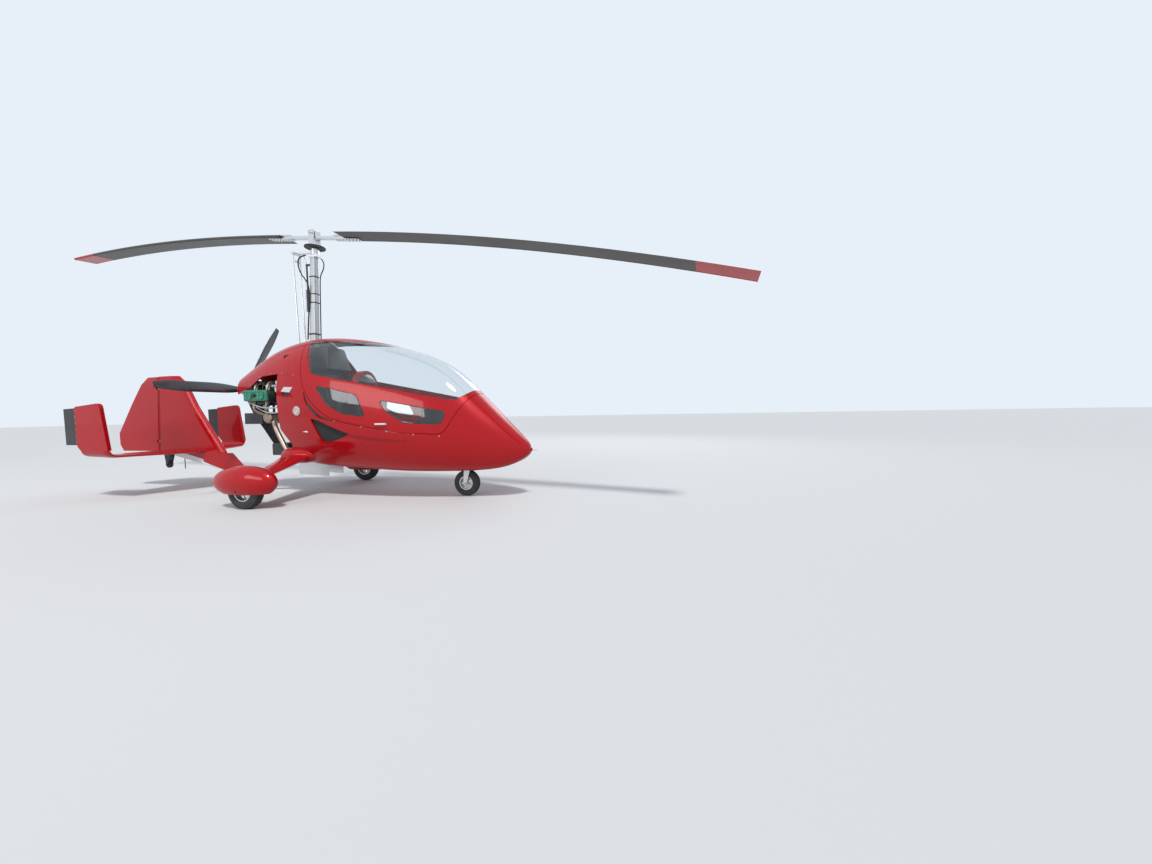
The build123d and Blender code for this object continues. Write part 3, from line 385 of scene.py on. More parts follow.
def mounted(piece, body, *nodes):
    """A finished piece, riding on its body in place of these nodes."""
    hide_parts(*nodes)
    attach(piece, body)
    return piece


def rounded_outline(corners):
    """The corners of a side outline, each rounded by its own radius, as points x and z."""
    out = []
    count = len(corners)
    for i in range(count):
        radius = corners[i][2]
        here = Vector(corners[i][:2])
        if radius <= 0:
            out.append(here)
            continue
        back = (Vector(corners[i - 1][:2]) - here).normalized()
        on = (Vector(corners[(i + 1) % count][:2]) - here).normalized()
        half = back.angle(on) / 2
        reach = radius / math.tan(half)
        centre = here + (back + on).normalized() * (reach / math.cos(half))
        start = here + back * reach - centre
        turn = start.angle_signed(here + on * reach - centre)
        out += [centre + Matrix.Rotation(-turn * k / 10, 2) @ start for k in range(11)]
    return out


def beside(points, offset):
    """A closed outline moved out, or in where the offset is negative."""
    count = len(points)
    area = sum(points[i].x * points[(i + 1) % count].y - points[(i + 1) % count].x * points[i].y
               for i in range(count))
    moved = []
    for i in range(count):
        along = (points[(i + 1) % count] - points[i - 1]).normalized()
        moved.append(points[i] + Vector((along.y, -along.x)) * (offset if area > 0 else -offset))
    return moved


def side_cutter(name, corners, grow=0.0, y_from=-0.6, y_to=0.6):
    """A block across the body whose side view is the rounded outline."""
    outline = rounded_outline(corners)
    if grow:
        outline = beside(outline, grow)
    sheet = bpy.data.meshes.new(name)
    sheet.from_pydata([(p.x, y_from, p.y) for p in outline], [], [range(len(outline))])
    block = bpy.data.objects.new(name, sheet)
    bpy.context.scene.collection.objects.link(block)
    bpy.ops.object.select_all(action="DESELECT")
    block.select_set(True)
    bpy.context.view_layer.objects.active = block
    bpy.ops.object.mode_set(mode="EDIT")
    bpy.ops.mesh.select_all(action="SELECT")
    bpy.ops.mesh.extrude_region_move(TRANSFORM_OT_translate={"value": (0, y_to - y_from, 0)})
    bpy.ops.mesh.select_all(action="SELECT")
    bpy.ops.mesh.normals_make_consistent(inside=False)
    bpy.ops.object.mode_set(mode="OBJECT")
    return block


skin = body_form("skin_outer", 0.0)
lining = body_form("skin_inner", 0.014)
pane_back = body_form("skin_pane", 0.005)
vent_floor = body_form("vent_floor", 0.009)
above_roof = 1.76
canopy_outline = [
    # x, z, corner radius
    (0.014, above_roof, 0.0), (0.022, 1.590, 0.060), (0.200, 0.840, 0.640), (1.180, 0.658, 0.900),
    (1.592, 0.640, 0.110), (1.735, 0.890, 0.300), (1.862, 1.060, 0.030), (1.862, above_roof, 0.0),
]
bubble_outline = [
    (0.076, above_roof, 0.0), (0.082, 1.560, 0.060), (0.232, 1.236, 0.046), (1.690, 0.950, 0.120),
    (1.806, 1.046, 0.030), (1.812, above_roof, 0.0),
]
rear_window = [(0.276, 1.130, 0.024), (0.739, 1.025, 0.046), (0.850, 0.812, 0.024), (0.600, 0.846, 0.170),
               (0.420, 0.940, 0.150)]
front_window = [(0.962, 0.972, 0.022), (1.618, 0.848, 0.030), (1.572, 0.734, 0.046), (1.240, 0.744, 0.170),
                (1.060, 0.850, 0.150)]
cowl_outline = [
    (-0.900, above_roof, 0.0), (-0.900, 1.066, 0.0), (-0.650, 1.140, 0.120), (-0.470, 1.246, 0.160),
    (-0.224, 1.258, 0.060), (-0.010, 1.229, 0.160), (0.150, 1.150, 0.0), (0.150, above_roof, 0.0),
]

# Canopy frame: the moulded arch that carries the bubble and the side windows, cut round them.
canopy_cutter = side_cutter("canopy_cutter", canopy_outline)
canopy_hole = side_cutter("canopy_hole", canopy_outline, grow=0.005)
bubble_cutter = side_cutter("bubble_cutter", bubble_outline)
window_cutters = [side_cutter("rear_window_cutter", rear_window), side_cutter("front_window_cutter", front_window)]
frame_piece = copy_of(skin, "painted_canopy_frame")
combine(frame_piece, canopy_cutter, "INTERSECT", keep=True)
combine(frame_piece, lining, "DIFFERENCE", keep=True)
combine(frame_piece, bubble_cutter, "DIFFERENCE", keep=True)
for cutter in window_cutters:
    combine(frame_piece, cutter, "DIFFERENCE", keep=True)
soften(frame_piece)
painted(frame_piece, red_paint)
mounted(frame_piece, "canopy", "canopy_frame")

# Bubble and side windows: clear acrylic, five millimetres thick, let flush into the frame.
acrylic = bpy.data.materials.new("clear_acrylic")
acrylic.use_nodes = True
shader = acrylic.node_tree.nodes["Principled BSDF"]
shader.inputs["Base Color"].default_value = (0.93, 0.96, 0.97, 1)
shader.inputs["Roughness"].default_value = 0.015
shader.inputs["IOR"].default_value = 1.45
shader.inputs["Transmission Weight"].default_value = 1.0
haze_place = acrylic.node_tree.nodes.new("ShaderNodeTexCoord")
haze = acrylic.node_tree.nodes.new("ShaderNodeTexNoise")
haze.inputs["Scale"].default_value = 5.0
haze_range = acrylic.node_tree.nodes.new("ShaderNodeMapRange")
haze_range.inputs["To Min"].default_value = 0.008
haze_range.inputs["To Max"].default_value = 0.045
acrylic.node_tree.links.new(haze_place.outputs["Object"], haze.inputs["Vector"])
acrylic.node_tree.links.new(haze.outputs["Fac"], haze_range.inputs["Value"])
acrylic.node_tree.links.new(haze_range.outputs["Result"], shader.inputs["Roughness"])
bubble = copy_of(skin, "clear_bubble")
combine(bubble, canopy_cutter, "INTERSECT", keep=True)
combine(bubble, bubble_cutter, "INTERSECT")
combine(bubble, pane_back, "DIFFERENCE", keep=True)
soften(bubble)
painted(bubble, acrylic)
mounted(bubble, "canopy", "canopy_bubble")
panes = []
for cutter, name in zip(window_cutters, ("rear_window_panes", "front_window_panes")):
    pane = copy_of(skin, name)
    combine(pane, cutter, "INTERSECT")
    combine(pane, pane_back, "DIFFERENCE", keep=True)
    soften(pane)
    panes.append(painted(pane, acrylic))
mounted(panes[0], "canopy", "side_windows")
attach(panes[1], "canopy")

# Upper cowl: the roof behind the canopy, in one moulding over the engine, with a slot in each side.
crescent_vent = [(0.146, 1.096, 0.004), (0.176, 0.950, 0.190), (0.330, 0.800, 0.190), (0.586, 0.756, 0.004),
                 (0.350, 0.826, 0.170), (0.205, 0.960, 0.170)]
scoop_vent = [(-0.142, 1.070, 0.008), (0.002, 1.058, 0.006), (-0.064, 1.018, 0.012), (-0.134, 1.030, 0.008)]
slot_vent = [(-0.206, 1.452, 0.004), (-0.092, 1.462, 0.004), (-0.150, 1.448, 0.004), (-0.188, 1.412, 0.004)]
cowl = copy_of(skin, "painted_upper_cowl")
combine(cowl, side_cutter("cowl_cutter", cowl_outline), "INTERSECT")
combine(cowl, lining, "DIFFERENCE", keep=True)
combine(cowl, canopy_hole, "DIFFERENCE", keep=True)
for place, size in (((-0.046, 0, 1.640), (0.104, 0.082, 0.2)), ((-0.198, 0, 1.580), (0.032, 0.112, 0.2))):
    bpy.ops.mesh.primitive_cube_add(size=1, location=place, scale=size)
    combine(cowl, bpy.context.object, "DIFFERENCE")
combine(cowl, combine(side_cutter("slot", slot_vent), vent_floor, "DIFFERENCE", keep=True), "DIFFERENCE")
soften(cowl)
painted(cowl, red_paint)
mounted(cowl, "airframe", "upper_cowl")

# Hull: the tub, with swellings over the leg roots, a wedge sunk in each flank that deepens to a duct,
# a crescent and a scoop below the canopy's rear corner, and a well for the nose leg.
swellings = [((-0.050, 0.236, 0.430), (0.235, 0.112, 0.084)), ((-0.050, -0.236, 0.430), (0.235, 0.112, 0.084)),
             ((1.480, 0.0, 0.300), (0.150, 0.056, 0.050))]
wedge_rows = [
    # x, foot, top, distance of its floor from the middle
    (0.229, 0.797, 0.800, 0.3383), (0.262, 0.726, 0.7965, 0.3395), (0.296, 0.652, 0.7895, 0.3405),
    (0.330, 0.5785, 0.7800, 0.3440), (0.400, 0.5775, 0.7505, 0.3526), (0.470, 0.5770, 0.7210, 0.3613),
    (0.540, 0.5765, 0.6925, 0.3700), (0.600, 0.5760, 0.6700, 0.3774), (0.670, 0.5755, 0.6490, 0.3860),
    (0.760, 0.5745, 0.6310, 0.3845), (0.900, 0.5730, 0.6145, 0.3823), (1.100, 0.5710, 0.5955, 0.3790),
    (1.337, 0.5690, 0.5730, 0.3751),
]
wedges = []
for side in (-1, 1):
    for name, room in (("wedge", 0.0), ("wedge_wall", 0.012)):
        rings = []
        for k, (x, foot, top, floor_y) in enumerate(wedge_rows):
            if k == 0:
                x = x - room
            elif k == len(wedge_rows) - 1:
                x = x + room
            floor = side * (floor_y - room)
            beyond = side * 0.6
            rings.append([(x, floor, foot - room), (x, beyond, foot - room), (x, beyond, top + room),
                          (x, floor, top + room)])
        wedges.append((room, ringed_form(name, rings)))
hull_room = copy_of(lining, "hull_room")
for room, wedge in wedges:
    if room > 0:
        combine(hull_room, wedge, "DIFFERENCE")
hull = copy_of(skin, "painted_hull")
for centre, radii in swellings:
    bpy.ops.mesh.primitive_uv_sphere_add(segments=96, ring_count=48, radius=1, location=centre, scale=radii)
    combine(hull, bpy.context.object, "UNION")
combine(hull, hull_room, "DIFFERENCE")
for room, wedge in wedges:
    if room == 0:
        combine(hull, wedge, "DIFFERENCE")
combine(hull, canopy_hole, "DIFFERENCE")
combine(hull, side_cutter("cowl_gap", cowl_outline, grow=0.001), "DIFFERENCE")
duct_outline = [(0.238, 0.794, 0.008), (0.318, 0.776, 0.012), (0.384, 0.592, 0.008), (0.338, 0.586, 0.008)]
combine(hull, side_cutter("duct_cutter", duct_outline), "DIFFERENCE")
for vent in (crescent_vent, scoop_vent):
    combine(hull, combine(side_cutter("vent", vent), vent_floor, "DIFFERENCE", keep=True), "DIFFERENCE")
bpy.ops.mesh.primitive_cube_add(size=1, location=(-0.720, 0, 0.8), scale=(1.0, 1.2, 2.0))
combine(hull, bpy.context.object, "DIFFERENCE")
rear_slope = [(-0.260, 0.700, 0.0), (-0.220, 0.700, 0.0), (-0.072, 0.505, 0.030), (-0.260, 0.505, 0.0)]
combine(hull, side_cutter("rear_slope", rear_slope), "DIFFERENCE")
bpy.ops.mesh.primitive_cylinder_add(vertices=96, radius=0.118, depth=0.15, location=(1.700, 0, 0.275))
combine(hull, bpy.context.object, "DIFFERENCE")
soften(hull)
painted(hull, red_paint)
mounted(hull, "airframe", "hull")

# Side ducts: a black moulded box behind the opening at the rear of each flank's wedge.
vent_black = new_finish("vent_black", (0.010, 0.010, 0.011, 1), 0.55, dust=0.15, dust_scale=12.0,
                        dust_colour=(0.06, 0.05, 0.05, 1))
grained(vent_black, 300.0, 0.0003)
for side, word in ((-1, "starboard"), (1, "port")):
    near, far = sorted((side * 0.280, side * 0.3385))
    duct = side_cutter("flank_duct_" + word, duct_outline, grow=0.003, y_from=near, y_to=far)
    open_near, open_far = sorted((side * 0.283, side * 0.360))
    combine(duct, side_cutter("duct_room", duct_outline, y_from=open_near, y_to=open_far), "DIFFERENCE")
    soften(duct, 35)
    painted(duct, vent_black)
    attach(duct, "airframe")

# Firewall: an alloy sheet that closes the hull ahead of the engine.
firewall = copy_of(lining, "firewall_sheet")
bpy.ops.mesh.primitive_cube_add(size=1, location=(-0.214, 0, 0.975), scale=(0.012, 1.0, 0.550))
combine(firewall, bpy.context.object, "INTERSECT")
soften(firewall)
mounted(firewall, "airframe", "firewall")

# Fuel cap: a round white cap, set a little proud of the starboard flank, with a steel ring.
bpy.ops.mesh.primitive_cylinder_add(vertices=72, radius=0.045, depth=0.06, location=(0.063, -0.400, 0.881),
                                    rotation=(math.pi / 2, 0, 0))
fuel_cap = bpy.context.object
fuel_cap.name = "fuel_cap"
combine(fuel_cap, body_form("cap_face", -0.006), "INTERSECT")
soften(fuel_cap, 35, 0.0015)
white_cap = new_finish("white_cap", (0.62, 0.60, 0.57, 1), 0.36, coat=0.3, dust=0.30, dust_scale=30.0)
grained(white_cap, 300.0, 0.0003)
painted(fuel_cap, white_cap)
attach(fuel_cap, "airframe")
for form in (skin, lining, pane_back, vent_floor, canopy_cutter):
    bpy.data.objects.remove(form)

# Small painted shells: fin, rudder, headrest arch and blade tips, in the body's red.
for name in ("tail_fin", "rudder", "headrest_arch", "blade_tips"):
    painted(cad[name], red_paint)

# Stabiliser: laminate halves low on the fin, whose ends turn up into the outer fins.


def plane_ring(middle, thick_way, front_x, rear_x, half, edge):
    """One section of the tailplane, with an elliptical nose and a blunt trailing edge."""
    nose = 0.080
    points = [(rear_x, -edge), (front_x - nose, -half)]
    points += [(front_x - nose + nose * math.sin(math.pi * k / 16), -half * math.cos(math.pi * k / 16))
               for k in range(1, 16)]
    points += [(front_x - nose, half), (rear_x, edge)]
    return [Vector((x, middle.y, middle.z)) + thick_way * t for x, t in points]


for side, word in ((-1, "starboard"), (1, "port")):
    rings = [plane_ring(Vector((0, side * 0.020, 0.452)), Vector((0, 0, 1)), -1.520, -2.190, 0.022, 0.004)]
    for k in range(9):
        share = k / 8
        turn = share * math.pi / 2
        middle = Vector((0, side * (0.620 + 0.064 * math.sin(turn)), 0.516 - 0.064 * math.cos(turn)))
        rings.append(plane_ring(middle, Vector((0, -side * math.sin(turn), math.cos(turn))), -1.836 - 0.009 * share,
                                -2.200 - 0.004 * share, 0.017, 0.004 + 0.011 * share))
    plane = ringed_form("stabiliser_" + word, rings)
    soften(plane, 40)
    painted(plane, red_paint)
    fin_outline = [(-1.845, 0.514, 0.0), (-1.918, 0.994, 0.046), (-2.252, 0.962, 0.024), (-2.252, 0.560, 0.060),
                   (-2.204, 0.514, 0.0)]
    near, far = sorted((side * 0.667, side * 0.701))
    outer_fin = side_cutter("outer_fin_" + word, fin_outline, y_from=near, y_to=far)
    soften(outer_fin, 35, 0.005)
    painted(outer_fin, red_paint)
    if side < 0:
        mounted(plane, "airframe", "stabiliser")
        mounted(outer_fin, "airframe", "outer_fins")
    else:
        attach(plane, "airframe")
        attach(outer_fin, "airframe")

# Glazing seals: a thin black bead over the joint round each pane, laid on the skin by its shape.
black_rubber = new_finish("black_rubber", (0.016, 0.016, 0.017, 1), 0.62, dust=0.20, dust_scale=30.0,
                          dust_colour=(0.10, 0.09, 0.08, 1))
grained(black_rubber, 600.0, 0.0001)


def spaced(points, count, closed=False):
    """Points at equal steps along a line of straight runs."""
    line = [Vector(p) for p in points] + ([Vector(points[0])] if closed else [])
    reach = [0.0]
    for a, b in zip(line, line[1:]):
        reach.append(reach[-1] + (b - a).length)
    out = []
    for k in range(count):
        want = reach[-1] * k / (count if closed else count - 1)
        i = max(0, min(len(reach) - 2, int(np.searchsorted(reach, want, side="right")) - 1))
        span = max(reach[i + 1] - reach[i], 1e-9)
        out.append(line[i].lerp(line[i + 1], (want - reach[i]) / span))
    return out


def laid_on(name, target, edge_a, edge_b, side, finish, lift=0.0004, thick=0.0008, across=3):
    """A thin strip or patch between two edges drawn in side view, laid on a skin along Y."""
    bpy.ops.object.select_all(action="DESELECT")
    bpy.ops.mesh.primitive_grid_add(x_subdivisions=across, y_subdivisions=len(edge_a) - 1, size=1)
    patch = bpy.context.object
    patch.name = name
    rows = [[(a.x + (b.x - a.x) * k / across, side * 0.62, a.y + (b.y - a.y) * k / across)
             for k in range(across + 1)] for a, b in zip(edge_a, edge_b)]
    patch.data.vertices.foreach_set("co", np.array(rows).ravel())
    wrap = patch.modifiers.new("on_skin", "SHRINKWRAP")
    wrap.target = target
    wrap.wrap_method = "PROJECT"
    wrap.use_project_y = True
    wrap.use_negative_direction = True
    wrap.use_positive_direction = True
    bpy.ops.object.modifier_apply(modifier=wrap.name)
    bpy.ops.object.mode_set(mode="EDIT")
    bpy.ops.mesh.select_all(action="SELECT")
    bpy.ops.mesh.remove_doubles(threshold=0.00005)
    bpy.ops.mesh.normals_make_consistent(inside=False)
    bpy.ops.object.mode_set(mode="OBJECT")
    outward = sum(p.normal.y * p.area for p in patch.data.polygons) * side
    if outward < 0:
        bpy.ops.object.mode_set(mode="EDIT")
        bpy.ops.mesh.flip_normals()
        bpy.ops.object.mode_set(mode="OBJECT")
    places = np.empty(len(patch.data.vertices) * 3)
    patch.data.vertices.foreach_get("co", places)
    places[1::3] += side * lift
    patch.data.vertices.foreach_set("co", places)
    body = patch.modifiers.new("body", "SOLIDIFY")
    body.thickness = thick
    body.offset = 1.0
    bpy.ops.object.modifier_apply(modifier=body.name)
    bpy.ops.object.shade_smooth_by_angle(angle=math.radians(40))
    painted(patch, finish)
    return patch


def joined(name, pieces):
    """Several meshes as one piece."""
    bpy.ops.object.select_all(action="DESELECT")
    for piece in pieces:
        piece.select_set(True)
    bpy.context.view_layer.objects.active = pieces[0]
    if len(pieces) > 1:
        bpy.ops.object.join()
    whole = bpy.context.view_layer.objects.active
    whole.name = name
    return whole


canopy_skin = joined("canopy_skin", [copy_of(form, form.name + "_copy") for form in [frame_piece, bubble] + panes])
bubble_rail = [(0.079, 1.560), (0.140, 1.400), (0.212, 1.270), (0.246, 1.240), (0.300, 1.226), (0.900, 1.108),
               (1.600, 0.969), (1.690, 0.958), (1.760, 1.008), (1.803, 1.046)]
seals = []
for side in (-1, 1):
    for word, window in (("rear", rear_window), ("front", front_window)):
        line = spaced(rounded_outline(window), 150, closed=True)
        line.append(line[0])
        ring = line[:-1]
        seals.append(laid_on(word + "_window_seal", canopy_skin, beside(ring, 0.0030) + beside(ring, 0.0030)[:1],
                             beside(ring, -0.0030) + beside(ring, -0.0030)[:1], side, black_rubber, across=2))
    rail = spaced(bubble_rail, 160)
    low = [p + Vector((-0.001, -0.0032)) for p in rail]
    high = [p + Vector((0.001, 0.0032)) for p in rail]
    seals.append(laid_on("bubble_seal", canopy_skin, low, high, side, black_rubber, across=2))
seal_piece = joined("glazing_seals", seals)
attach(seal_piece, "canopy")

# Sunshade: a red tinted band along the crown of the bubble, painted on its outside.
shade_rows = [(0.085 + 0.86 * k / 60, 0.165 * math.sqrt(max(0.0, 1 - (k / 60) ** 2.6))) for k in range(61)]
bpy.ops.object.select_all(action="DESELECT")
bpy.ops.mesh.primitive_grid_add(x_subdivisions=16, y_subdivisions=60, size=1)
sunshade = bpy.context.object
sunshade.name = "sunshade_band"
sunshade.data.vertices.foreach_set("co", np.array([[(x, half * (j / 8 - 1), 1.9) for j in range(17)]
                                                   for x, half in shade_rows]).ravel())
wrap = sunshade.modifiers.new("on_skin", "SHRINKWRAP")
wrap.target = bubble
wrap.wrap_method = "PROJECT"
wrap.use_project_z = True
wrap.use_negative_direction = True
bpy.ops.object.modifier_apply(modifier=wrap.name)
bpy.ops.object.mode_set(mode="EDIT")
bpy.ops.mesh.select_all(action="SELECT")
bpy.ops.mesh.remove_doubles(threshold=0.00005)
bpy.ops.mesh.normals_make_consistent(inside=False)
bpy.ops.object.mode_set(mode="OBJECT")
if sum(p.normal.z * p.area for p in sunshade.data.polygons) < 0:
    bpy.ops.object.mode_set(mode="EDIT")
    bpy.ops.mesh.flip_normals()
    bpy.ops.object.mode_set(mode="OBJECT")
bpy.ops.transform.translate(value=(0, 0, 0.0004))
bpy.ops.object.transform_apply(location=True)
film = sunshade.modifiers.new("film", "SOLIDIFY")
film.thickness = 0.0006
film.offset = 1.0
bpy.ops.object.modifier_apply(modifier=film.name)
bpy.ops.object.shade_smooth_by_angle(angle=math.radians(40))
painted(sunshade, red_paint)
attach(sunshade, "canopy")

# Vents and recess: black sheets laid on the floors of the sunk places of the flanks and of the cowl. The crescent's is
# its own black paint; the scoop's and the slot's are painted shade, the darkness inside them.
crescent_outer = [(0.154, 1.058), (0.172, 0.980), (0.222, 0.890), (0.330, 0.812), (0.520, 0.7705)]
crescent_inner = [(0.157, 1.060), (0.196, 0.975), (0.254, 0.898), (0.360, 0.824), (0.521, 0.7715)]
scoop_low = [(-0.132, 1.034), (-0.110, 1.027), (-0.070, 1.024), (-0.045, 1.034), (-0.018, 1.050)]
scoop_high = [(-0.136, 1.060), (-0.110, 1.064), (-0.075, 1.0618), (-0.045, 1.0595), (-0.019, 1.0555)]
slot_low = [(-0.200, 1.446), (-0.190, 1.424), (-0.176, 1.431), (-0.158, 1.448), (-0.130, 1.453)]
slot_high = [(-0.198, 1.451), (-0.190, 1.451), (-0.175, 1.453), (-0.158, 1.454), (-0.131, 1.456)]
for side, word in ((-1, "starboard"), (1, "port")):
    inserts = [
        laid_on("crescent_insert", hull, spaced(crescent_outer, 40), spaced(crescent_inner, 40), side,
                vent_black),
        # The scoop's black sheet is painted shade.
        laid_on("scoop_painted_shade", hull, spaced(scoop_low, 16), spaced(scoop_high, 16), side, vent_black),
    ]
    vents = joined("flank_vent_paint_and_shade_" + word, inserts)
    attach(vents, "airframe")
    # The slot's black sheet is painted shade.
    slot = laid_on("cowl_slot_painted_shade_" + word, cowl, spaced(slot_low, 16), spaced(slot_high, 16),
                   side, vent_black)
    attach(slot, "airframe")

# Blank badge: a plain pale diamond plate above each scoop, left bare.
badge_finish = new_finish("blank_badge", (0.62, 0.60, 0.62, 1), 0.35, coat=0.4, dust=0.12, dust_scale=20.0)
grained(badge_finish, 400.0, 0.00006)
for side, word in ((-1, "starboard"), (1, "port")):
    badge = laid_on("blank_badge_" + word, hull, spaced([(-0.150, 1.078), (-0.030, 1.066)], 12),
                    spaced([(-0.108, 1.122), (0.012, 1.116)], 12), side, badge_finish, lift=0.0006, thick=0.0012)
    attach(badge, "airframe")

# Panel lines: the shallow joints where the hull's rear quarter and the cowl's hatch are bonded on, drawn as thin strips
# of darker red that are painted shadow in the joints.
joint_painted_shadow = new_finish("panel_line", (0.070, 0.002, 0.003, 1), 0.6, dust=0.2, dust_scale=30.0)
panel_lines = [
    # what it lies on, points as x and z
    (hull, [(0.150, 1.172), (0.128, 1.120), (0.120, 1.060)]),
    (hull, [(-0.075, 1.225), (-0.070, 1.140), (-0.060, 1.128)]),
    (cowl, [(-0.080, 1.245), (-0.084, 1.330), (-0.090, 1.392)]),
    (hull, [(0.240, 0.560), (0.285, 0.470), (0.300, 0.400)]),
]
for side, word in ((-1, "starboard"), (1, "port")):
    lines = []
    for target, points in panel_lines:
        line = spaced(points, 24)
        lines.append(laid_on("panel_line", target, [p - Vector((0.0007, 0)) for p in line],
                             [p + Vector((0.0007, 0)) for p in line], side, joint_painted_shadow, lift=0.0001,
                             thick=0.0003, across=1))
    line_piece = joined("panel_lines_" + word, lines)
    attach(line_piece, "airframe")
bpy.data.objects.remove(canopy_skin)

# Gear legs: one glass-fibre bow faired to a thin blade, running out and down to the stub axles.
leg_rows = [
    # reach, forward, height, chord, thickness
    (0.000, -0.050, 0.436, 0.330, 0.072),
    (0.250, -0.050, 0.436, 0.330, 0.072),
    (0.330, -0.042, 0.416, 0.308, 0.068),
    (0.520, -0.016, 0.361, 0.250, 0.056),
    (0.716, 0.010, 0.306, 0.190, 0.044),
]


def blade_ring(place, chord_way, thick_way, chord, thickness, count=44, sharp=0.35):
    """A section of a faired blade: round in front, drawn out to a soft edge behind."""
    ring = []
    for k in range(count):
        turn = 2 * math.pi * k / count
        ahead = math.cos(turn)
        thin = 1.0 - sharp * max(0.0, -ahead) ** 1.5
        ring.append(place + chord_way * (ahead * chord / 2) + thick_way * (math.sin(turn) * thickness / 2 * thin))
    return ring


for side, word in ((1, "left"), (-1, "right")):
    rings = []
    for reach, forward, height, chord, thickness in leg_rows:
        rings.append(blade_ring(Vector((forward, side * reach, height)), Vector((1, 0, 0)), Vector((0, 0, 1)),
                                chord, thickness))
    leg = ringed_form("gear_leg_" + word, rings)
    soften(leg)
    painted(leg, red_paint)
    if word == "left":
        mounted(leg, "airframe", "gear_legs")
    else:
        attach(leg, "airframe")

# Spats: egg-shaped laminate shells over the main wheels, each with a round access hole at the axle.
for side, word in ((1, "left"), (-1, "right")):
    centre = Vector((-0.115, side * 0.780, 0.243))
    shells = []
    for inset in (0.0, 0.008):
        bpy.ops.mesh.primitive_uv_sphere_add(segments=128, ring_count=64, radius=1, location=(0, 0, 0))
        egg = bpy.context.object
        places = np.empty(len(egg.data.vertices) * 3)
        egg.data.vertices.foreach_get("co", places)
        places = places.reshape(-1, 3)
        nose = places[:, 2].copy()
        along, over = nose, places[:, 0].copy()
        wide = places[:, 1].copy()
        slim = 1.0 + 0.06 * along
        shaped = np.column_stack((
            centre.x + (0.335 - inset) * along,
            centre.y + (0.105 - inset) * wide * slim,
            centre.z + (0.150 - inset) * over * slim,
        ))
        egg.data.vertices.foreach_set("co", shaped.ravel())
        bpy.ops.object.select_all(action="DESELECT")
        egg.select_set(True)
        bpy.context.view_layer.objects.active = egg
        bpy.ops.object.mode_set(mode="EDIT")
        bpy.ops.mesh.select_all(action="SELECT")
        bpy.ops.mesh.normals_make_consistent(inside=False)
        bpy.ops.object.mode_set(mode="OBJECT")
        shells.append(egg)
    spat = combine(shells[0], shells[1], "DIFFERENCE")
    spat.name = "spat_" + word
    bpy.ops.mesh.primitive_cube_add(size=1, location=(centre.x, centre.y, 0.040), scale=(0.9, 0.4, 0.2))
    combine(spat, bpy.context.object, "DIFFERENCE")
    bpy.ops.mesh.primitive_cylinder_add(vertices=48, radius=0.013, depth=0.06,
                                        location=(-0.110, side * 0.880, 0.172), rotation=(math.pi / 2, 0, 0))
    combine(spat, bpy.context.object, "DIFFERENCE")
    soften(spat, 40)
    painted(spat, red_paint)
    if word == "left":
        mounted(spat, "airframe", "spats")
    else:
        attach(spat, "airframe")

# Tyres: plain ribbed rubber with rounded shoulders, grey with dust where they roll.
tyre_rubber = new_finish("tyre_rubber", (0.022, 0.022, 0.023, 1), 0.78, dust=0.55, dust_scale=14.0,
                         dust_colour=(0.10, 0.09, 0.075, 1))
grained(tyre_rubber, 420.0, 0.0004)


def wheel_form(name, profile, place, steps=120):
    """A form turned about a wheel's axle, from points given as radius and distance along it."""
    rings = []
    for k in range(steps):
        turn = 2 * math.pi * k / steps
        rings.append([Vector((place[0] + r * math.cos(turn), place[1] + y, place[2] + r * math.sin(turn)))
                      for r, y in profile])
    rings.append(rings[0])
    return ringed_form(name, rings, closed_ends=False)


def tyre_profile(outer, seat, half_width):
    """Half the section of a tyre, mirrored: bead, side wall, shoulder and three ribs."""
    side = [(seat, 0.70), (seat + 0.004, 0.76), (seat + 0.35 * (outer - seat), 0.98),
            (seat + 0.60 * (outer - seat), 1.00), (seat + 0.82 * (outer - seat), 0.90),
            (seat + 0.93 * (outer - seat), 0.76), (outer - 0.0045, 0.60), (outer - 0.0035, 0.50),
            (outer - 0.0070, 0.48), (outer - 0.0070, 0.43), (outer - 0.0016, 0.40), (outer - 0.0008, 0.20),
            (outer - 0.0055, 0.17), (outer - 0.0055, 0.11), (outer, 0.08)]
    half = [(r, share * half_width) for r, share in side]
    return half + [(r, -y) for r, y in reversed(half)]


wheels = [
    # name, body, place, tyre radius, seat radius, half width, spokes
    ("main_left", "main_wheel_left", (-0.110, 0.780, 0.165), 0.165, 0.088, 0.047, 6),
    ("main_right", "main_wheel_right", (-0.110, -0.780, 0.165), 0.165, 0.088, 0.047, 6),
    ("nose", "nose_wheel", (1.660, 0.0, 0.131), 0.131, 0.065, 0.039, 5),
]
cad_tyres = {"main_left": "main_tyre_left", "main_right": "main_tyre_right", "nose": "nose_tyre"}
cad_rims = {"main_left": "main_rim_left", "main_right": "main_rim_right", "nose": "nose_rim"}
for name, body, place, outer, seat, half_width, spokes in wheels:
    tyre = wheel_form(name + "_tyre", tyre_profile(outer, seat, half_width), place)
    soften(tyre, 45)
    painted(tyre, tyre_rubber)
    mounted(tyre, body, cad_tyres[name])

# Rims: cast alloy, split at the middle, with round lightening holes and a ring of bolts.
cast_alloy = new_finish("cast_alloy", (0.62, 0.62, 0.63, 1), 0.34, metallic=0.9, dust=0.25, dust_scale=18.0)
grained(cast_alloy, 260.0, 0.00025)
bolt_steel = new_finish("zinc_bolts", (0.55, 0.54, 0.50, 1), 0.32, metallic=1.0, dust=0.12, dust_scale=60.0)
grained(bolt_steel, 700.0, 0.00005)


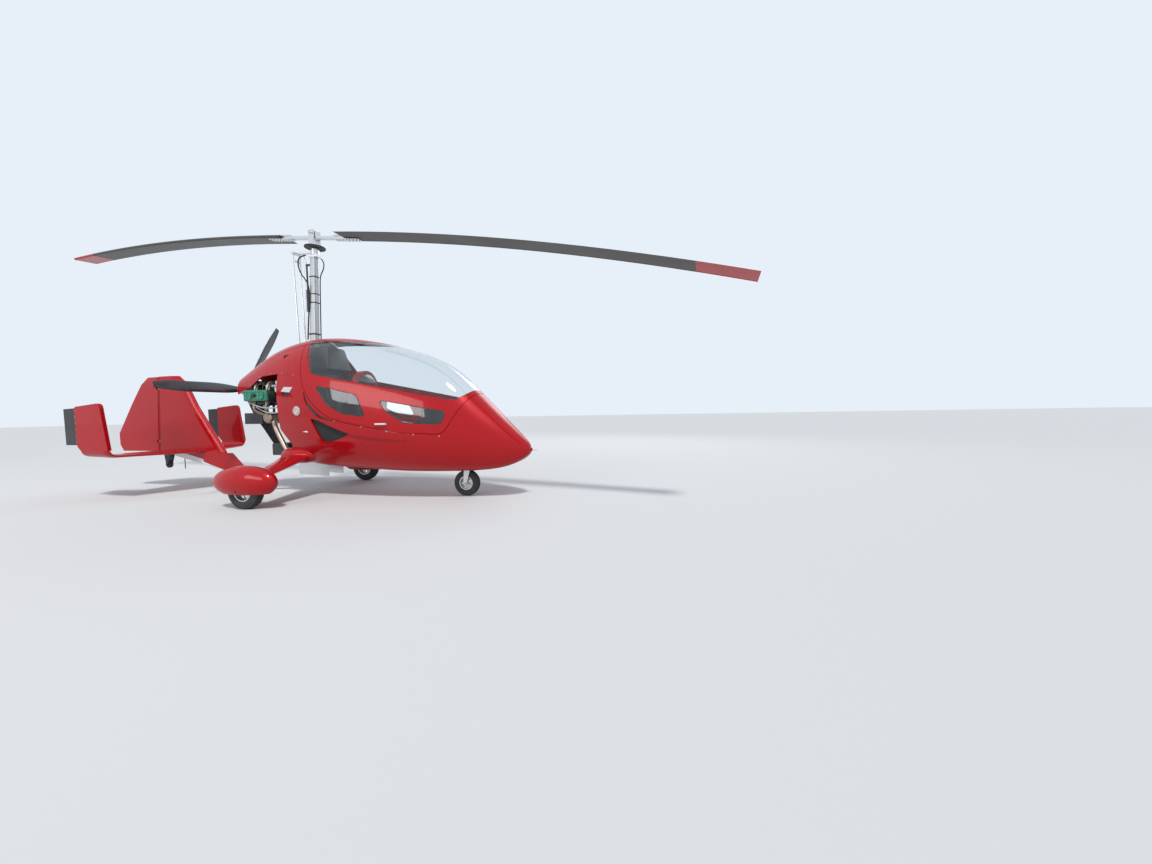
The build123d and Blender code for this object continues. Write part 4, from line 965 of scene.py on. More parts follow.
def bolt_heads(name, places, across, height, way, sides=6):
    """Like bolt heads in one mesh, with chamfered tops, standing along one way."""
    made = []
    for place in places:
        bpy.ops.mesh.primitive_cylinder_add(vertices=sides, radius=across / 2, depth=height,
                                            location=Vector(place) + Vector(way).normalized() * height / 2,
                                            rotation=Vector(way).to_track_quat("Z", "Y").to_euler())
        made.append(bpy.context.object)
    bpy.ops.object.select_all(action="DESELECT")
    for head in made:
        head.select_set(True)
    bpy.context.view_layer.objects.active = made[0]
    if len(made) > 1:
        bpy.ops.object.join()
    heads = bpy.context.view_layer.objects.active
    heads.name = name
    applied()
    chamfer = heads.modifiers.new("chamfer", "BEVEL")
    chamfer.width = height * 0.18
    chamfer.segments = 2
    bpy.ops.object.modifier_apply(modifier=chamfer.name)
    bpy.ops.object.shade_smooth_by_angle(angle=math.radians(35))
    return heads


for name, body, place, outer, seat, half_width, spokes in wheels:
    lip = half_width * 0.70
    disc = 0.006
    barrel = [(seat + 0.0055, lip + 0.0045), (seat - 0.004, lip + 0.0045), (seat - 0.009, lip - 0.006),
              (seat - 0.012, lip * 0.45), (seat - 0.017, disc), (0.034, disc + 0.003), (0.030, disc + 0.006),
              (0.028, lip + 0.001), (0.0101, lip + 0.003)]
    profile = [(seat - 0.0005, 0.02)] + [(seat - 0.0005, lip), (seat + 0.0045, lip + 0.001)] + barrel
    profile += [(r, -y) for r, y in reversed(profile)]
    rim = wheel_form(name + "_rim", profile, place, steps=96)
    middle = (seat + 0.018) / 2
    for k in range(spokes):
        turn = 2 * math.pi * (k + 0.5) / spokes
        bpy.ops.mesh.primitive_cylinder_add(
            vertices=32, radius=seat * 0.20, depth=0.08, rotation=(math.pi / 2, 0, 0),
            location=(place[0] + middle * math.cos(turn), place[1], place[2] + middle * math.sin(turn)))
        combine(rim, bpy.context.object, "DIFFERENCE")
    soften(rim, 35, 0.0008)
    painted(rim, cast_alloy)
    mounted(rim, body, cad_rims[name])
    for side, word in ((1, "port"), (-1, "starboard")):
        ring_places = [(place[0] + 0.022 * math.cos(2 * math.pi * k / 5), place[1] + side * (lip + 0.0),
                        place[2] + 0.022 * math.sin(2 * math.pi * k / 5)) for k in range(5)]
        bolts = bolt_heads(name + "_hub_bolts_" + word, ring_places, 0.008, 0.005, (0, side, 0))
        painted(bolts, bolt_steel)
        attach(bolts, body)

# Nose fork: a raked alloy fork below its steering tube, with a through axle.
brushed_alloy = new_finish("brushed_alloy", (0.66, 0.67, 0.68, 1), 0.30, metallic=0.95, dust=0.15, dust_scale=9.0)
grained(brushed_alloy, 60.0, 0.00008, stretch=(1.0, 1.0, 14.0))
white_coat = new_finish("white_powder_coat", (0.72, 0.73, 0.74, 1), 0.38, metallic=0.2, coat=0.2, dust=0.18,
                        dust_scale=6.0)
grained(white_coat, 500.0, 0.00012)
black_coat = new_finish("black_coat", (0.022, 0.022, 0.024, 1), 0.48, dust=0.14, dust_scale=7.0,
                        dust_colour=(0.16, 0.15, 0.13, 1))
grained(black_coat, 480.0, 0.00015)
for name in ("nose_fork", "nose_strut", "rotor_gimbal", "rotor_tower", "control_rods", "canopy_hinge",
             "canopy_ears", "rudder_hinges", "pitot_tube"):
    painted(cad[name], brushed_alloy)
for name in ("keel_beam", "canopy_latch"):
    painted(cad[name], white_coat)
for name in ("ring_gear", "control_sticks", "aerial_rod", "fin_panels", "tail_bracket"):
    painted(cad[name], black_coat)
painted(cad["axle_carriers"], bolt_steel)
painted(cad["tail_wheel"], tyre_rubber)

# Mast: a tapering welded alloy box, brushed along its length.
mast_alloy = new_finish("mast_alloy", (0.44, 0.45, 0.46, 1), 0.36, metallic=0.75, dust=0.2, dust_scale=4.0)
grained(mast_alloy, 40.0, 0.0001, stretch=(9.0, 9.0, 0.5))
painted(cad["mast"], mast_alloy)

# Cabin lining: dark grey felt bonded inside the tub, from floor to sill.
felt = new_finish("felt_lining", (0.020, 0.020, 0.022, 1), 0.92, dust=0.18, dust_scale=16.0,
                  dust_colour=(0.06, 0.058, 0.052, 1))
grained(felt, 900.0, 0.0008, detail=6.0)
sill = np.array([(-0.2, 1.15), (0.12, 1.13), (0.20, 0.97), (0.34, 0.845), (0.60, 0.745), (1.20, 0.635),
                 (1.60, 0.625), (1.70, 0.79), (1.83, 0.93), (2.16, 0.60)])
lining_shape = drawn_through(body_sections, steps_along)
lining_rows = []
for x in np.linspace(0.045, 1.96, 90):
    at = np.array([np.interp(x, lining_shape[:, 0], lining_shape[:, k]) for k in range(1, 5)])
    bottom, middle, top, half = at
    low, high, wide = bottom + 0.022, top - 0.022, half - 0.022
    flat = wide * 0.42
    lid = float(np.interp(x, sill[:, 0], sill[:, 1]))
    ring = [(flat * k / 6, low) for k in range(6)]
    highest = min(lid, high - 0.02)
    for k in range(31):
        z = low + (highest - low) * (1 - math.cos(math.pi / 2 * k / 30))
        if z <= middle:
            y = flat + (wide - flat) * math.sqrt(max(0.0, 1 - ((middle - z) / (middle - low)) ** 2))
        else:
            y = wide * 0.1 + wide * 0.9 * math.sqrt(max(0.0, 1 - ((z - middle) / (high - middle)) ** 2))
        ring.append((y, z))
    lining_rows.append([(x, -y, z) for y, z in reversed(ring)] + [(x, y, z) for y, z in ring[1:]])
bpy.ops.object.select_all(action="DESELECT")
bpy.ops.mesh.primitive_grid_add(x_subdivisions=len(lining_rows[0]) - 1, y_subdivisions=len(lining_rows) - 1, size=1)
cabin_lining = bpy.context.object
cabin_lining.name = "cabin_lining"
cabin_lining.data.vertices.foreach_set("co", np.array(lining_rows).ravel())
body = cabin_lining.modifiers.new("felt", "SOLIDIFY")
body.thickness = 0.0015
body.offset = 0.0
bpy.ops.object.modifier_apply(modifier=body.name)
bpy.ops.object.shade_smooth_by_angle(angle=math.radians(40))
painted(cabin_lining, felt)
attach(cabin_lining, "airframe")
for name in ("cabin_floor", "rear_bulkhead"):
    painted(cad[name], felt)

# Seats: two black laminate shells bolted to the floor, with sewn cloth pads on pan and back.
laminate = new_finish("black_laminate", (0.014, 0.014, 0.015, 1), 0.42, coat=0.25, dust=0.15, dust_scale=9.0,
                      dust_colour=(0.09, 0.085, 0.08, 1))
grained(laminate, 240.0, 0.0003)
painted(cad["seats"], laminate)
seat_cloth = new_finish("seat_cloth", (0.035, 0.036, 0.040, 1), 0.88, dust=0.25, dust_scale=22.0,
                        dust_colour=(0.075, 0.075, 0.080, 1))
cloth_tree = seat_cloth.node_tree
cloth_place = cloth_tree.nodes.new("ShaderNodeTexCoord")
threads = []
for way, turn in (("X", 0.0), ("Y", math.pi / 2)):
    thread = cloth_tree.nodes.new("ShaderNodeTexWave")
    thread.wave_type = "BANDS"
    thread.bands_direction = way
    thread.inputs["Scale"].default_value = 260.0
    thread.inputs["Distortion"].default_value = 0.6
    cloth_tree.links.new(cloth_place.outputs["Object"], thread.inputs["Vector"])
    threads.append(thread)
weave = cloth_tree.nodes.new("ShaderNodeMath")
weave.operation = "MULTIPLY"
cloth_tree.links.new(threads[0].outputs["Fac"], weave.inputs[0])
cloth_tree.links.new(threads[1].outputs["Fac"], weave.inputs[1])
weave_bump = cloth_tree.nodes.new("ShaderNodeBump")
weave_bump.inputs["Strength"].default_value = 0.7
weave_bump.inputs["Distance"].default_value = 0.0006
cloth_tree.links.new(weave.outputs[0], weave_bump.inputs["Height"])
cloth_tree.links.new(weave_bump.outputs["Normal"], cloth_tree.nodes["Principled BSDF"].inputs["Normal"])
cloth_tree.nodes["Principled BSDF"].inputs["Sheen Weight"].default_value = 0.25
piping = new_finish("seam_piping", (0.012, 0.012, 0.013, 1), 0.6, dust=0.15, dust_scale=40.0)
grained(piping, 900.0, 0.0001)


def sewn_pad(name, size, place, lean, channels, cap, body, node=None):
    """A crowned pad: swelled as cloth from a rounded block, pinned where it rests, with sewn channels."""
    length, width, height = size
    bpy.ops.object.select_all(action="DESELECT")
    bpy.ops.mesh.primitive_cube_add(size=1, location=(0, 0, height / 2),
                                    scale=(length - 0.012, width - 0.012, height - 0.016))
    pad = applied()
    pad.name = name
    ease = pad.modifiers.new("edges", "BEVEL")
    ease.width = height * 0.28
    ease.segments = 3
    bpy.ops.object.modifier_apply(modifier=ease.name)
    grid = pad.modifiers.new("grid", "REMESH")
    grid.mode = "VOXEL"
    grid.voxel_size = 0.0075
    bpy.ops.object.modifier_apply(modifier=grid.name)
    start = np.empty(len(pad.data.vertices) * 3)
    pad.data.vertices.foreach_get("co", start)
    start = start.reshape(-1, 3).copy()
    rests = pad.vertex_groups.new(name="rests")
    rests.add([int(i) for i in np.nonzero(start[:, 2] < 0.012)[0]], 1.0, "REPLACE")
    cloth = pad.modifiers.new("stuffing", "CLOTH")
    cloth.settings.quality = 5
    cloth.settings.mass = 0.3
    cloth.settings.tension_stiffness = 30
    cloth.settings.compression_stiffness = 30
    cloth.settings.use_pressure = True
    cloth.settings.uniform_pressure_force = 4.0
    cloth.settings.effector_weights.gravity = 0.0
    cloth.settings.vertex_group_mass = "rests"
    for frame_number in range(1, 21):
        bpy.context.scene.frame_set(frame_number)
    swelled = pad.evaluated_get(bpy.context.evaluated_depsgraph_get())
    moved = np.empty(len(pad.data.vertices) * 3)
    swelled.data.vertices.foreach_get("co", moved)
    moved = moved.reshape(-1, 3).copy()
    pad.modifiers.remove(cloth)
    bpy.context.scene.frame_set(1)
    step = moved - start
    far = np.linalg.norm(step, axis=1)[:, None]
    start = start + step * np.minimum(1.0, cap / np.maximum(far, 1e-9))
    for line in channels:
        near = np.clip(1 - np.abs(start[:, 0] - line) / 0.012, 0, None) ** 2
        start[:, 2] -= 0.010 * near * (start[:, 2] > height * 0.5)
    start[:, 2] = np.maximum(start[:, 2], 0.0006)
    pad.data.vertices.foreach_set("co", start.ravel())
    smoother = pad.modifiers.new("finer", "SUBSURF")
    smoother.levels = smoother.render_levels = 1
    bpy.ops.object.modifier_apply(modifier=smoother.name)
    pad.data.transform(Matrix.Translation(place) @ Matrix.Rotation(lean, 4, "Y"))
    pad.data.update()
    bpy.ops.object.shade_smooth()
    painted(pad, seat_cloth)
    if node:
        mounted(pad, body, node)
    else:
        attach(pad, body)
    return pad


pad_rows = [
    # name, size, place of its lower face's middle, lean about Y, channels, node it stands for
    ("front_seat_pad", (0.385, 0.372, 0.060), (0.925, 0.0, 0.4515), -0.046, (-0.06, 0.06), "front_seat_cushion"),
    ("front_back_pad", (0.560, 0.372, 0.054), (0.6450, 0.0, 0.7620), -1.392, (-0.14, 0.0, 0.14), None),
    ("rear_seat_pad", (0.360, 0.372, 0.060), (0.335, 0.0, 0.5410), -0.050, (-0.06, 0.06), "rear_seat_cushion"),
    ("rear_back_pad", (0.600, 0.372, 0.054), (0.0975, 0.0, 0.8950), -1.478, (-0.15, 0.0, 0.15), None),
]
for name, size, place, lean, channels, node in pad_rows:
    sewn_pad(name, size, place, lean, channels, 0.012, "airframe", node)

# Headrests: a padded black block on the front seat's arch, and a moulded one above the rear seat.
sewn_pad("front_headrest_pad", (0.200, 0.270, 0.050), (0.5725, 0.0, 1.155), -math.pi / 2 + 0.03, (0.0,), 0.012,
         "airframe")
bpy.ops.object.select_all(action="DESELECT")
bpy.ops.mesh.primitive_cube_add(size=1, location=(0.110, 0.0, 1.425), scale=(0.156, 0.34, 0.24))
rear_headrest = applied()
rear_headrest.name = "rear_headrest_fairing"
for vertex in rear_headrest.data.vertices:
    if vertex.co.x > 0.1:
        vertex.co.x += 0.03 if vertex.co.z > 1.43 else 0.075
    if vertex.co.z > 1.43:
        vertex.co.y *= 0.72
soften(rear_headrest, 40, 0.022)
painted(rear_headrest, laminate)
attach(rear_headrest, "airframe")

# Harness: a four-point belt on each seat, in flat dark webbing with a steel buckle.
webbing = new_finish("belt_webbing", (0.050, 0.052, 0.058, 1), 0.75, dust=0.1, dust_scale=30.0)
grained(webbing, 500.0, 0.0004, stretch=(1.0, 6.0, 1.0))


def strap(name, points, width, across_way, finish):
    """A flat strap along a smooth line, as wide as real webbing and two millimetres thick."""
    line = spaced([Vector(p) for p in points], 40)
    for _ in range(6):
        line = [line[0]] + [(line[i - 1] + line[i] * 2 + line[i + 1]) / 4 for i in range(1, len(line) - 1)] + [line[-1]]
    side_way = Vector(across_way).normalized() * width / 2
    bpy.ops.object.select_all(action="DESELECT")
    bpy.ops.mesh.primitive_grid_add(x_subdivisions=2, y_subdivisions=len(line) - 1, size=1)
    band = bpy.context.object
    band.name = name
    band.data.vertices.foreach_set("co", np.array([[tuple(p - side_way), tuple(p), tuple(p + side_way)]
                                                   for p in line]).ravel())
    body = band.modifiers.new("body", "SOLIDIFY")
    body.thickness = 0.002
    body.offset = 0.0
    bpy.ops.object.modifier_apply(modifier=body.name)
    bpy.ops.object.shade_smooth_by_angle(angle=math.radians(50))
    painted(band, finish)
    return band


for word, x, z, back_x, back_z in (("front", 0.730, 0.535, 0.640, 1.045), ("rear", 0.180, 0.625, 0.098, 1.215)):
    bands = []
    for side in (-1, 1):
        bands.append(strap("shoulder", [(back_x - 0.010, side * 0.075, back_z + 0.015),
                                        (back_x + 0.026, side * 0.070, back_z - 0.02),
                                        (x + 0.012 + (back_x - x) * 0.35, side * 0.055, z + 0.20),
                                        (x + 0.030, side * 0.03, z + 0.035)], 0.045, (0, 1, 0), webbing))
        bands.append(strap("lap", [(x + 0.020, side * 0.178, z - 0.02), (x + 0.045, side * 0.150, z + 0.018),
                                   (x + 0.055, side * 0.09, z + 0.026), (x + 0.045, side * 0.025, z + 0.030)],
                           0.045, (1, 0, 0.5), webbing))
    harness = joined(word + "_harness", bands)
    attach(harness, "airframe")
    bpy.ops.object.select_all(action="DESELECT")
    bpy.ops.mesh.primitive_cylinder_add(vertices=40, radius=0.034, depth=0.012, location=(x + 0.046, 0, z + 0.034),
                                        rotation=(0, 0.35, 0))
    buckle = applied()
    buckle.name = word + "_buckle"
    soften(buckle, 35, 0.002)
    painted(buckle, bolt_steel)
    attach(buckle, "airframe")

# Instrument pod: a black moulded pedestal with two screens and six round dials in bezels,
# all with blank faces but for the dials' ticks.
pod_black = new_finish("pod_black", (0.018, 0.018, 0.020, 1), 0.58, dust=0.12, dust_scale=10.0,
                       dust_colour=(0.09, 0.085, 0.08, 1))
grained(pod_black, 700.0, 0.0003)
painted(cad["instrument_pod"], pod_black)
panel_normal = Vector((-0.9988, 0.0, 0.0499)).normalized()


def on_panel(across, up, out=0.0):
    """A place on the panel's face, from the middle of its foot."""
    return Vector((1.300, across, 0.700)) - Vector((0.010, 0, -0.2)) * (up / 0.2) + panel_normal * out


def panel_block(name, across, up, size, finish, edge=0.002, round_face=False):
    """A small case standing on the panel's face."""
    wide, tall, deep = size
    turn = panel_normal.to_track_quat("Z", "Y").to_euler()
    if round_face:
        bpy.ops.mesh.primitive_cylinder_add(vertices=40, radius=wide / 2, depth=deep, rotation=turn,
                                            location=on_panel(across, up, deep / 2 - 0.001))
    else:
        bpy.ops.mesh.primitive_cube_add(size=1, rotation=turn, location=on_panel(across, up, deep / 2 - 0.001),
                                        scale=(wide, tall, deep))
    case = bpy.context.object
    case.name = name
    applied()
    soften(case, 35, edge)
    painted(case, finish)
    return case


screen_glass = new_finish("screen_glass", (0.012, 0.016, 0.022, 1), 0.08, coat=0.6, dust=0.10, dust_scale=20.0)
dial_face = new_finish("dial_face", (0.015, 0.015, 0.015, 1), 0.30, coat=0.8, dust=0.05, dust_scale=30.0)
dial_tree = dial_face.node_tree
dial_place = dial_tree.nodes.new("ShaderNodeTexCoord")
ticks = dial_tree.nodes.new("ShaderNodeTexWave")
ticks.wave_type = "RINGS"
ticks.rings_direction = "X"
ticks.inputs["Scale"].default_value = 26.0
dial_tree.links.new(dial_place.outputs["Object"], ticks.inputs["Vector"])
tick_mask = dial_tree.nodes.new("ShaderNodeMapRange")
tick_mask.inputs["From Min"].default_value = 0.93
tick_mask.inputs["From Max"].default_value = 0.97
dial_tree.links.new(ticks.outputs["Fac"], tick_mask.inputs["Value"])
dial_mix = dial_tree.nodes.new("ShaderNodeMix")
dial_mix.data_type = "RGBA"
dial_mix.inputs[7].default_value = (0.5, 0.5, 0.48, 1)
dial_tree.links.new(tick_mask.outputs["Result"], dial_mix.inputs["Factor"])
dial_tree.links.new(dial_tree.nodes["dusty"].outputs["Colour"], dial_mix.inputs[6])
dial_tree.links.new(dial_mix.outputs[2], dial_tree.nodes["Principled BSDF"].inputs["Base Color"])
screens = [panel_block("screen", side * 0.082, 0.125, (0.105, 0.105, 0.014), screen_glass) for side in (-1, 1)]
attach(joined("panel_screens", screens), "airframe")
dials = [panel_block("dial", -0.152 + 0.061 * k, 0.035, (0.050, 0.050, 0.010), dial_face, round_face=True)
         for k in range(6)]
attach(joined("panel_dials", dials), "airframe")
bezels = [panel_block("bezel", -0.152 + 0.061 * k, 0.035, (0.056, 0.056, 0.005), black_rubber, round_face=True)
          for k in range(6)]
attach(joined("dial_bezels", bezels), "airframe")

# Grips: moulded rubber handles on the tops of both control sticks.
painted(cad["control_sticks"], pod_black)
for word, foot, top in (("front", (1.1517, 0, 0.690), (1.1395, 0, 0.775)),
                        ("rear", (0.5740, 0, 0.745), (0.5605, 0, 0.835))):
    foot, top = Vector(foot), Vector(top)
    rings = []
    for share, radius in ((0.0, 0.0125), (0.03, 0.016), (0.25, 0.0185), (0.5, 0.0165), (0.75, 0.0185), (0.95, 0.0195),
                          (1.03, 0.016), (1.06, 0.008)):
        middle = foot.lerp(top, share)
        rings.append([middle + Vector((math.cos(2 * math.pi * k / 28) * radius * 1.15,
                                       math.sin(2 * math.pi * k / 28) * radius, 0)) for k in range(28)])
    grip = ringed_form(word + "_stick_grip", rings)
    soften(grip, 50)
    painted(grip, black_rubber)
    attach(grip, "airframe")

# Headrest visor: a smoked hood in the arch behind the front seat.
smoked = new_finish("smoked_visor", (0.030, 0.016, 0.018, 1), 0.12, coat=1.0, dust=0.05, dust_scale=10.0)
bpy.ops.mesh.primitive_uv_sphere_add(segments=64, ring_count=32, radius=1, location=(0.540, 0, 1.180),
                                     scale=(0.055, 0.150, 0.085))
visor = applied()
visor.name = "headrest_visor"
bpy.ops.object.mode_set(mode="EDIT")
bpy.ops.mesh.select_all(action="SELECT")
bpy.ops.mesh.bisect(plane_co=(0, 0, 1.125), plane_no=(0, 0, 1), clear_inner=True, use_fill=True)
bpy.ops.object.mode_set(mode="OBJECT")
bpy.ops.object.shade_smooth_by_angle(angle=math.radians(50))
painted(visor, smoked)
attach(visor, "airframe")

# Engine: a grey cast flat four, its finned barrels black, with pale intake runners.
engine_grey = new_finish("cast_engine_grey", (0.060, 0.062, 0.064, 1), 0.50, metallic=0.55, dust=0.35,
                         dust_scale=14.0, dust_colour=(0.13, 0.12, 0.10, 1))
grained(engine_grey, 240.0, 0.0006)
painted(cad["engine_block"], engine_grey)
green_enamel = new_finish("green_enamel", (0.006, 0.185, 0.098, 1), 0.34, coat=0.5, dust=0.22, dust_scale=16.0,
                          dust_colour=(0.03, 0.10, 0.07, 1))
grained(green_enamel, 160.0, 0.0004)
covers = []
for side in (-1, 1):
    bpy.ops.mesh.primitive_cube_add(size=1, location=(-0.527, side * 0.2745, 1.048), scale=(0.296, 0.033, 0.118))
    cover = applied()
    for vertex in cover.data.vertices:
        if side * vertex.co.y > 0.28:
            vertex.co.x = -0.527 + (vertex.co.x + 0.527) * 0.965
            vertex.co.z = 1.048 + (vertex.co.z - 1.048) * 0.92
    soften(cover, 40, 0.014)
    covers.append(cover)
    for x in (-0.452, -0.602):
        bpy.ops.mesh.primitive_cylinder_add(vertices=56, radius=0.046, depth=0.030, location=(x, side * 0.285, 1.048),
                                            rotation=(math.pi / 2, 0, 0))
        applied()
        soften(bpy.context.object, 35, 0.003)
        covers.append(bpy.context.object)
rocker_covers = joined("rocker_covers", covers)
painted(rocker_covers, green_enamel)
mounted(rocker_covers, "airframe", "valve_covers")

# Barrel fins: thin cooling fins round each of the four barrels.
barrel_fins = []
for side in (-1, 1):
    for x in (-0.452, -0.602):
        for k in range(6):
            bpy.ops.mesh.primitive_cylinder_add(vertices=56, radius=0.0655, depth=0.0035, rotation=(math.pi / 2, 0, 0),
                                                location=(x, side * (0.134 + 0.017 * k), 1.048))
            barrel_fins.append(bpy.context.object)
fin_stack = joined("barrel_fins", barrel_fins)
applied()
soften(fin_stack, 35, 0.0008)
painted(fin_stack, engine_grey)
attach(fin_stack, "airframe")
cream_alloy = new_finish("cream_runners", (0.66, 0.60, 0.50, 1), 0.42, metallic=0.25, dust=0.35, dust_scale=18.0,
                         dust_colour=(0.34, 0.29, 0.22, 1))
grained(cream_alloy, 200.0, 0.0005)
painted(cad["intake"], cream_alloy)
for side, word in ((-1, "starboard"), (1, "port")):
    places = []
    for x in (-0.452, -0.602):
        places += [(x + 0.030 * math.cos(math.pi / 4 + math.pi / 2 * k), side * 0.300,
                    1.048 + 0.030 * math.sin(math.pi / 4 + math.pi / 2 * k)) for k in range(4)]
    bolts = bolt_heads("cover_bolts_" + word, places, 0.009, 0.005, (0, side, 0))
    painted(bolts, bolt_steel)
    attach(bolts, "airframe")
bpy.ops.object.select_all(action="DESELECT")
bpy.ops.mesh.primitive_cylinder_add(vertices=36, radius=0.017, depth=0.016, location=(-0.527, -0.300, 1.048),
                                    rotation=(math.pi / 2, 0, 0))
filler = applied()
filler.name = "oil_filler_cap"
soften(filler, 35, 0.002)
painted(filler, black_rubber)
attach(filler, "airframe")

# Ignition: two finned black boxes on the crankcase, with a lead curving out to each plug.


def held_line(name, points, radius, finish, body, sides=10):
    """A round lead, hose or rod along one smooth line, as a closed mesh."""
    bpy.ops.object.select_all(action="DESELECT")
    bpy.ops.curve.primitive_nurbs_path_add()
    line = bpy.context.object
    line.name = name
    line.data.splines.clear()
    spline = line.data.splines.new("NURBS")
    spline.points.add(len(points) - 1)
    for point, place in zip(spline.points, points):
        point.co = (*place, 1.0)
    spline.order_u = 3
    spline.use_endpoint_u = True
    spline.resolution_u = 8
    line.data.dimensions = "3D"
    line.data.bevel_depth = radius
    line.data.bevel_resolution = max(1, sides // 4 - 1)
    line.data.use_fill_caps = True
    bpy.ops.object.convert(target="MESH")
    line = bpy.context.object
    applied()
    bpy.ops.object.mode_set(mode="EDIT")
    bpy.ops.mesh.select_all(action="SELECT")
    bpy.ops.mesh.remove_doubles(threshold=0.00002)
    bpy.ops.mesh.normals_make_consistent(inside=False)
    bpy.ops.object.mode_set(mode="OBJECT")
    bpy.ops.object.shade_smooth_by_angle(angle=math.radians(60))
    painted(line, finish)
    if body:
        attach(line, body)
    return line


boxes = []
for side in (-1, 1):
    bpy.ops.mesh.primitive_cube_add(size=1, location=(-0.405, side * 0.080, 1.160), scale=(0.090, 0.070, 0.050))
    box = applied()
    bpy.ops.object.mode_set(mode="EDIT")
    bpy.ops.mesh.select_all(action="SELECT")
    for step in range(7):
        x = -0.442 + 0.0122 * step
        bpy.ops.mesh.bisect(plane_co=(x, 0, 0), plane_no=(1, 0, 0))
        bpy.ops.mesh.select_all(action="SELECT")
    bpy.ops.mesh.select_all(action="DESELECT")
    bpy.ops.object.mode_set(mode="OBJECT")
    tops = [p for p in box.data.polygons if p.normal.z > 0.9]
    tops.sort(key=lambda p: p.center.x)
    for p in tops[::2]:
        p.select = True
    bpy.ops.object.mode_set(mode="EDIT")
    bpy.ops.mesh.select_mode(type="FACE")
    bpy.ops.mesh.extrude_region_move(TRANSFORM_OT_translate={"value": (0, 0, 0.008)})
    bpy.ops.object.mode_set(mode="OBJECT")
    soften(box, 35, 0.0012)
    boxes.append(box)
ignition = joined("ignition_boxes", boxes)
painted(ignition, black_coat)
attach(ignition, "airframe")
leads = []
for side in (-1, 1):
    for x in (-0.452, -0.602):
        for step in (-1, 1):
            start = (-0.405 - 0.012 * step, side * 0.104, 1.172)
            leads.append(held_line("lead", [start, (x * 0.5 - 0.22, side * 0.130, 1.215),
                                            (x + 0.030 * step, side * 0.170, 1.200 + 0.008 * step),
                                            (x + 0.036 * step, side * 0.222, 1.165),
                                            (x + 0.030 * step, side * 0.236, 1.115),
                                            (x + 0.024 * step, side * 0.240, 1.085)],
                                   0.0042, black_rubber, None))
plug_leads = joined("plug_leads", leads)
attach(plug_leads, "airframe")

# Carburettors: an alloy body and float bowl on each side, breathing through a short foam filter.
carbs = []
for side in (-1, 1):
    for place, radius, depth, way in (((-0.378, side * 0.165, 1.150), 0.027, 0.085, (1, 0, 0)),
                                      ((-0.382, side * 0.165, 1.112), 0.024, 0.056, (0, 0, 1)),
                                      ((-0.375, side * 0.165, 1.182), 0.017, 0.040, (0, 0, 1)),
                                      ((-0.344, side * 0.165, 1.150), 0.033, 0.012, (1, 0, 0))):
        bpy.ops.mesh.primitive_cylinder_add(vertices=36, radius=radius, depth=depth, location=place,
                                            rotation=Vector(way).to_track_quat("Z", "Y").to_euler())
        applied()
        soften(bpy.context.object, 35, 0.002)
        carbs.append(bpy.context.object)
carburettors = joined("carburettors", carbs)
painted(carburettors, cast_alloy)
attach(carburettors, "airframe")
foam = new_finish("filter_foam", (0.50, 0.42, 0.33, 1), 0.9, dust=0.3, dust_scale=40.0)
grained(foam, 420.0, 0.0015, detail=5.0)
filters = []
for side in (-1, 1):
    bpy.ops.mesh.primitive_cone_add(vertices=40, radius1=0.040, radius2=0.028, depth=0.066,
                                    location=(-0.306, side * 0.165, 1.150), rotation=(0, math.pi / 2, 0))
    applied()
    soften(bpy.context.object, 40, 0.007)
    filters.append(bpy.context.object)
foam_filters = joined("air_filters", filters)
painted(foam_filters, foam)
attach(foam_filters, "airframe")

# Hoses: black rubber for coolant and fuel, silver braid for oil and the side pipes, and a thin throttle cable.
braided = new_finish("silver_braid", (0.42, 0.42, 0.42, 1), 0.42, metallic=0.8, dust=0.2, dust_scale=40.0)
grained(braided, 900.0, 0.0006)
hoses = [
    # name, points, radius, finish
    ("coolant_hose_port", [(-0.640, 0.120, 0.866), (-0.630, 0.140, 0.905), (-0.560, 0.150, 0.930),
                           (-0.520, 0.120, 0.960), (-0.520, 0.100, 0.985)], 0.0135, black_rubber),
    ("coolant_hose_starboard", [(-0.640, -0.120, 0.866), (-0.630, -0.140, 0.905), (-0.560, -0.150, 0.930),
                                (-0.520, -0.120, 0.960), (-0.520, -0.100, 0.985)], 0.0135, black_rubber),
    ("oil_hose_feed", [(-0.380, 0.095, 0.525), (-0.360, 0.100, 0.580), (-0.300, 0.080, 0.640), (-0.300, 0.050, 0.700),
                       (-0.300, 0.040, 0.735)], 0.010, braided),
    ("oil_hose_return", [(-0.480, 0.095, 0.525), (-0.470, 0.100, 0.600), (-0.400, 0.090, 0.700), (-0.400, 0.080, 0.850),
                         (-0.410, 0.070, 0.970)], 0.010, braided),
    ("silver_pipe_upper", [(-0.640, -0.262, 0.985), (-0.560, -0.276, 0.955), (-0.470, -0.272, 0.925),
                           (-0.380, -0.250, 0.915), (-0.300, -0.225, 0.925), (-0.228, -0.210, 0.930)], 0.0075, braided),
    ("silver_pipe_lower", [(-0.560, -0.245, 0.930), (-0.480, -0.256, 0.890), (-0.400, -0.240, 0.865),
                           (-0.310, -0.215, 0.870), (-0.228, -0.200, 0.880)], 0.0070, braided),
    ("fuel_hose", [(-0.228, -0.120, 1.060), (-0.280, -0.130, 1.070), (-0.330, -0.150, 1.085), (-0.372, -0.165, 1.090)],
     0.0055, black_rubber),
    ("fuel_hose_port", [(-0.228, 0.120, 1.060), (-0.280, 0.130, 1.070), (-0.330, 0.150, 1.085),
                        (-0.372, 0.165, 1.090)], 0.0055, black_rubber),
    ("throttle_cable", [(-0.228, -0.040, 1.200), (-0.300, -0.050, 1.215), (-0.350, -0.130, 1.205),
                        (-0.372, -0.162, 1.196)], 0.0030, black_rubber),
]
